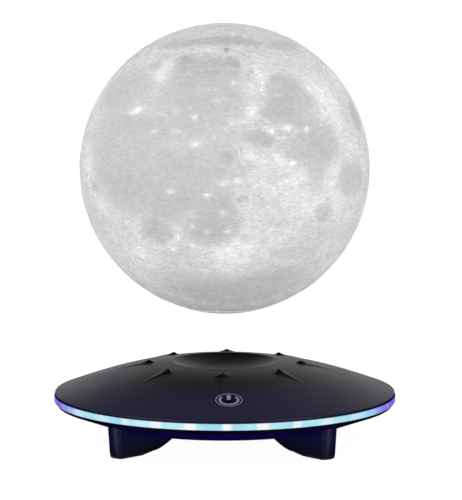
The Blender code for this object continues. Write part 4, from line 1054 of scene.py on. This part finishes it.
def moon_shade(points):
    """Grey that grows toward both poles, and a slanting streak in the south."""
    height = points[:, 2]
    along = points[:, 0] - STREAK_PLACE_SHARES[0]
    beside = height - STREAK_PLACE_SHARES[1] - STREAK_SLANT * along
    length, width = STREAK_REACH_SHARES
    shade = STREAK_DEPTH * np.exp(-(along / length) ** 2 - (beside / width) ** 2)
    for side, start, run, depth in POLE_SHADE_SHARES:
        shade += depth * np.clip((side * height - start) / run, 0, 1)
    return -shade


def make_globe(skin, cup_skin):
    points = np.array(sum(globe_rings(globe_radius, MOON_ROWS - 1), [])) / globe_radius
    mare, darkness = spread_field(wandering(points), [patch(*row) for row in DARK_PLAINS] + FAR_PLAINS)
    pale = soft_patches(points, [patch(*row) for row in PALE_GROUND]
                        + [patch(*row, SMALLEST_SPOT) for row in PALE_SPOTS])
    relief = crater_relief(points, mare) - PLAIN_SINK * np.clip(mare + PLAIN_SHORE, 0, 1)
    lowest, highest = (share * MOON_RELIEF for share in RELIEF_SHARES)
    radius = globe_radius - MOON_RELIEF + np.clip(relief, lowest, highest)
    outer = (points * radius[:, None]).tolist()
    outer_rings = [outer[first:first + MOON_COLUMNS] for first in range(0, len(outer), MOON_COLUMNS)]
    mesh = ringed(outer_rings + globe_rings(globe_radius - MOON_WALL, MOON_INNER_ROWS)[::-1])
    streaks = moon_shade(points)
    for name, values in (("mare", mare), ("darkness", darkness), ("pale", pale), ("streaks", streaks)):
        layer = mesh.attributes.new(name, "FLOAT", "POINT")
        padded = np.zeros(len(mesh.vertices))
        padded[:len(values)] = values
        layer.data.foreach_set("value", padded)
    mesh.transform(Matrix.Translation((0, 0, globe_level)))
    globe = finished(linked("moon_globe", mesh), skin, "globe", ["globe_shell"], sharp=80)
    for made in (globe, make_cup(cup_skin)):
        made.visible_glossy = False


def make_cup(skin):
    """The magnet's cup, which closes the neck with the globe's curve on its face."""
    radius = cup_radius()
    inner = radius - CUP_WALL
    top = cup_high.z - globe_level
    cup_floor = CUP_FLOOR_HEIGHT - globe_radius
    face = arc(globe_radius, -90, -np.degrees(np.arccos(radius / globe_radius)), 20)
    wall = rounded([face[-2], (*face[-1], NECK_LIP), (radius, top), (inner, top),
                    (inner, cup_floor), (0, cup_floor)], 3)
    mesh = revolve([(0, face[0][1])] + face[1:-1] + wall[1:], around(128))
    mesh.transform(Matrix.Translation((0, 0, globe_level)))
    return finished(linked("cup_face", mesh), skin, "globe", ["magnet_cup"])


# Stage

def make_stage():
    """A pale floor and a white tent around it. Neither shows in gloss, where the sky does."""
    half = STAGE_RADIUS
    flat = bpy.data.meshes.new("floor")
    flat.from_pydata([(-half, -half, FLOOR_LEVEL), (half, -half, FLOOR_LEVEL),
                      (half, half, FLOOR_LEVEL), (-half, half, FLOOR_LEVEL)], [], [(0, 1, 2, 3)])
    ball = bmesh.new()
    bmesh.ops.create_icosphere(ball, subdivisions=4, radius=STAGE_RADIUS)
    for name, mesh, color, glow in (("floor", flat, FLOOR_COLOR, FLOOR_GLOW),
                                    ("tent", meshed(ball), TENT_COLOR, TENT_GLOW)):
        paper = Skin(name + "_paper", color=color, roughness=0.9, specular=0)
        grain = paper.between(paper.noise(3, 2), 0, 1, glow - STAGE_UNEVEN, glow + STAGE_UNEVEN)
        paper.shade({"Emission Color": (1, 1, 1), "Emission Strength": grain})
        paper.material.cycles.emission_sampling = "NONE"
        mesh.materials.append(paper.material)
        made = linked(name, mesh)
        made.visible_glossy = False
        made.visible_shadow = False


def make_sky():
    """What the gloss shows: a bright band behind the lamp and at its sides, dark in front and above."""
    world = bpy.data.worlds.new("studio")
    bpy.context.scene.world = world
    world.use_nodes = True
    world.cycles.sampling_method = "NONE"
    nodes = Nodes(world.node_tree)
    axes = nodes.add("SeparateXYZ", {"Vector": nodes.add("TexCoord").outputs["Generated"]}).outputs
    sky = None
    for color, ramps in SKY_LAYERS:
        strength = 1
        for axis, reach in ramps:
            ramp = nodes.between(axes[axis], *reach, "SMOOTHSTEP")
            strength = nodes.math("MULTIPLY", strength, ramp)
        layer = nodes.add("Background", {"Color": color, "Strength": strength}).outputs[0]
        sky = nodes.add("AddShader", {0: sky, 1: layer}).outputs[0] if sky else layer
    nodes.set(world.node_tree.nodes["World Output"], {"Surface": sky})


def make_overhead_light():
    lamp = bpy.data.lights.new("overhead", "AREA")
    lamp.shape = "DISK"
    lamp.size = LAMP_SIZE
    lamp.energy = LAMP_POWER
    made = linked("overhead", lamp)
    made.location = LAMP_PLACE
    made.rotation_euler = (Vector(LAMP_AIM) - Vector(LAMP_PLACE)).to_track_quat("-Z", "Y").to_euler()
    made.visible_glossy = False


def camera_axes():
    """Unit vectors to the right and up in the camera's picture, and from its aim to the camera."""
    pitch, azimuth = radians(CAMERA_PITCH), radians(CAMERA_AZIMUTH)
    return np.array([(cos(azimuth), sin(azimuth), 0),
                     (-sin(pitch) * sin(azimuth), sin(pitch) * cos(azimuth), cos(pitch)),
                     (cos(pitch) * sin(azimuth), -cos(pitch) * cos(azimuth), sin(pitch))])


def make_camera():
    camera = bpy.data.cameras.new("camera")
    camera.sensor_fit = "VERTICAL"
    camera.sensor_height = CAMERA_SENSOR
    camera.lens = CAMERA_LENS
    made = linked("camera", camera)
    away = Vector(camera_axes()[2])
    made.location = Vector(CAMERA_AIM) + away * CAMERA_DISTANCE
    made.rotation_euler = (-away).to_track_quat("-Z", "Y").to_euler()
    bpy.context.scene.camera = made


def dress_nodes(skins):
    """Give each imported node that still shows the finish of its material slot."""
    slots = {part["node"]: part["material_slot"] for part in frame["record"]["subparts"]}
    for body in ("float", "globe"):
        for name in frame["record"]["behaviour"]["bodies"][body]:
            frame["nodes"][name].visible_glossy = False
    for name, node in frame["nodes"].items():
        skin = skins.get(slots[name])
        if skin:
            node.data.materials.clear()
            node.data.materials.append(skin)


def main():
    bpy.context.scene.view_settings.view_transform = "Standard"
    skins = plain_skins()
    # The shell's deep blue is partly its navy plastic, mostly painted blue light from the ring; just under
    # the band it turns darker, painted shade.
    under_band = tuple(band_level - drop for drop in SHADE_UNDER_BAND)
    skins["shell"] = moulded("shell", (0.0024, 0.001, 0.055), (0.0034, 0.0016, 0.072), 0.42, 0.04,
                             painted_light_ramp=("height", under_band, (0.0004, 0.0002, 0.008)))
    # The cover turns lighter and bluer toward its edge: painted blue light from the ring and painted sheen.
    skins["cover"] = moulded("cover", (0.0032, 0.0032, 0.0036), (0.0042, 0.0042, 0.0047), 0.4, 0.5,
                             painted_light_ramp=("away", RIM_PAINTED_LIGHT_REACH, (0.0165, 0.0143, 0.042)))
    dress_nodes(skins)
    make_camera()
    make_cover(skins["cover"])
    key_skin = moulded("key", (0.0035, 0.0022, 0.014), (0.005, 0.0032, 0.02), 0.35, 0.28)
    symbol = Skin("symbol", color=(0.17, 0.15, 0.26), roughness=0.4, specular=0.3)
    glow = symbol.between(symbol.noise(700, 2), 0.3, 0.7, 0.05, 0.11)
    symbol.shade({"Emission Color": (0.75, 0.7, 1), "Emission Strength": glow})
    make_touch_key(key_skin, symbol.material)
    make_light_ring(lamp_skin())
    floor_level = band_level - FIT - LIP_HEIGHT - FLARE_RISE
    make_lower_shell(skins["shell"], floor_level)
    # The legs turn bluer toward the top: painted blue light from the ring above.
    leg_skin = moulded("leg", (0.002, 0.0014, 0.01), (0.0028, 0.002, 0.014), 0.34, 0.26,
                       painted_light_ramp=("height", LEG_PAINTED_LIGHT_REACH, (0.0026, 0.001, 0.045)))
    make_feet(leg_skin, skins["rubber"], floor_level)
    make_globe(moon_skin(), skins["cup_plastic"])
    make_stage()
    make_sky()
    make_overhead_light()


main()
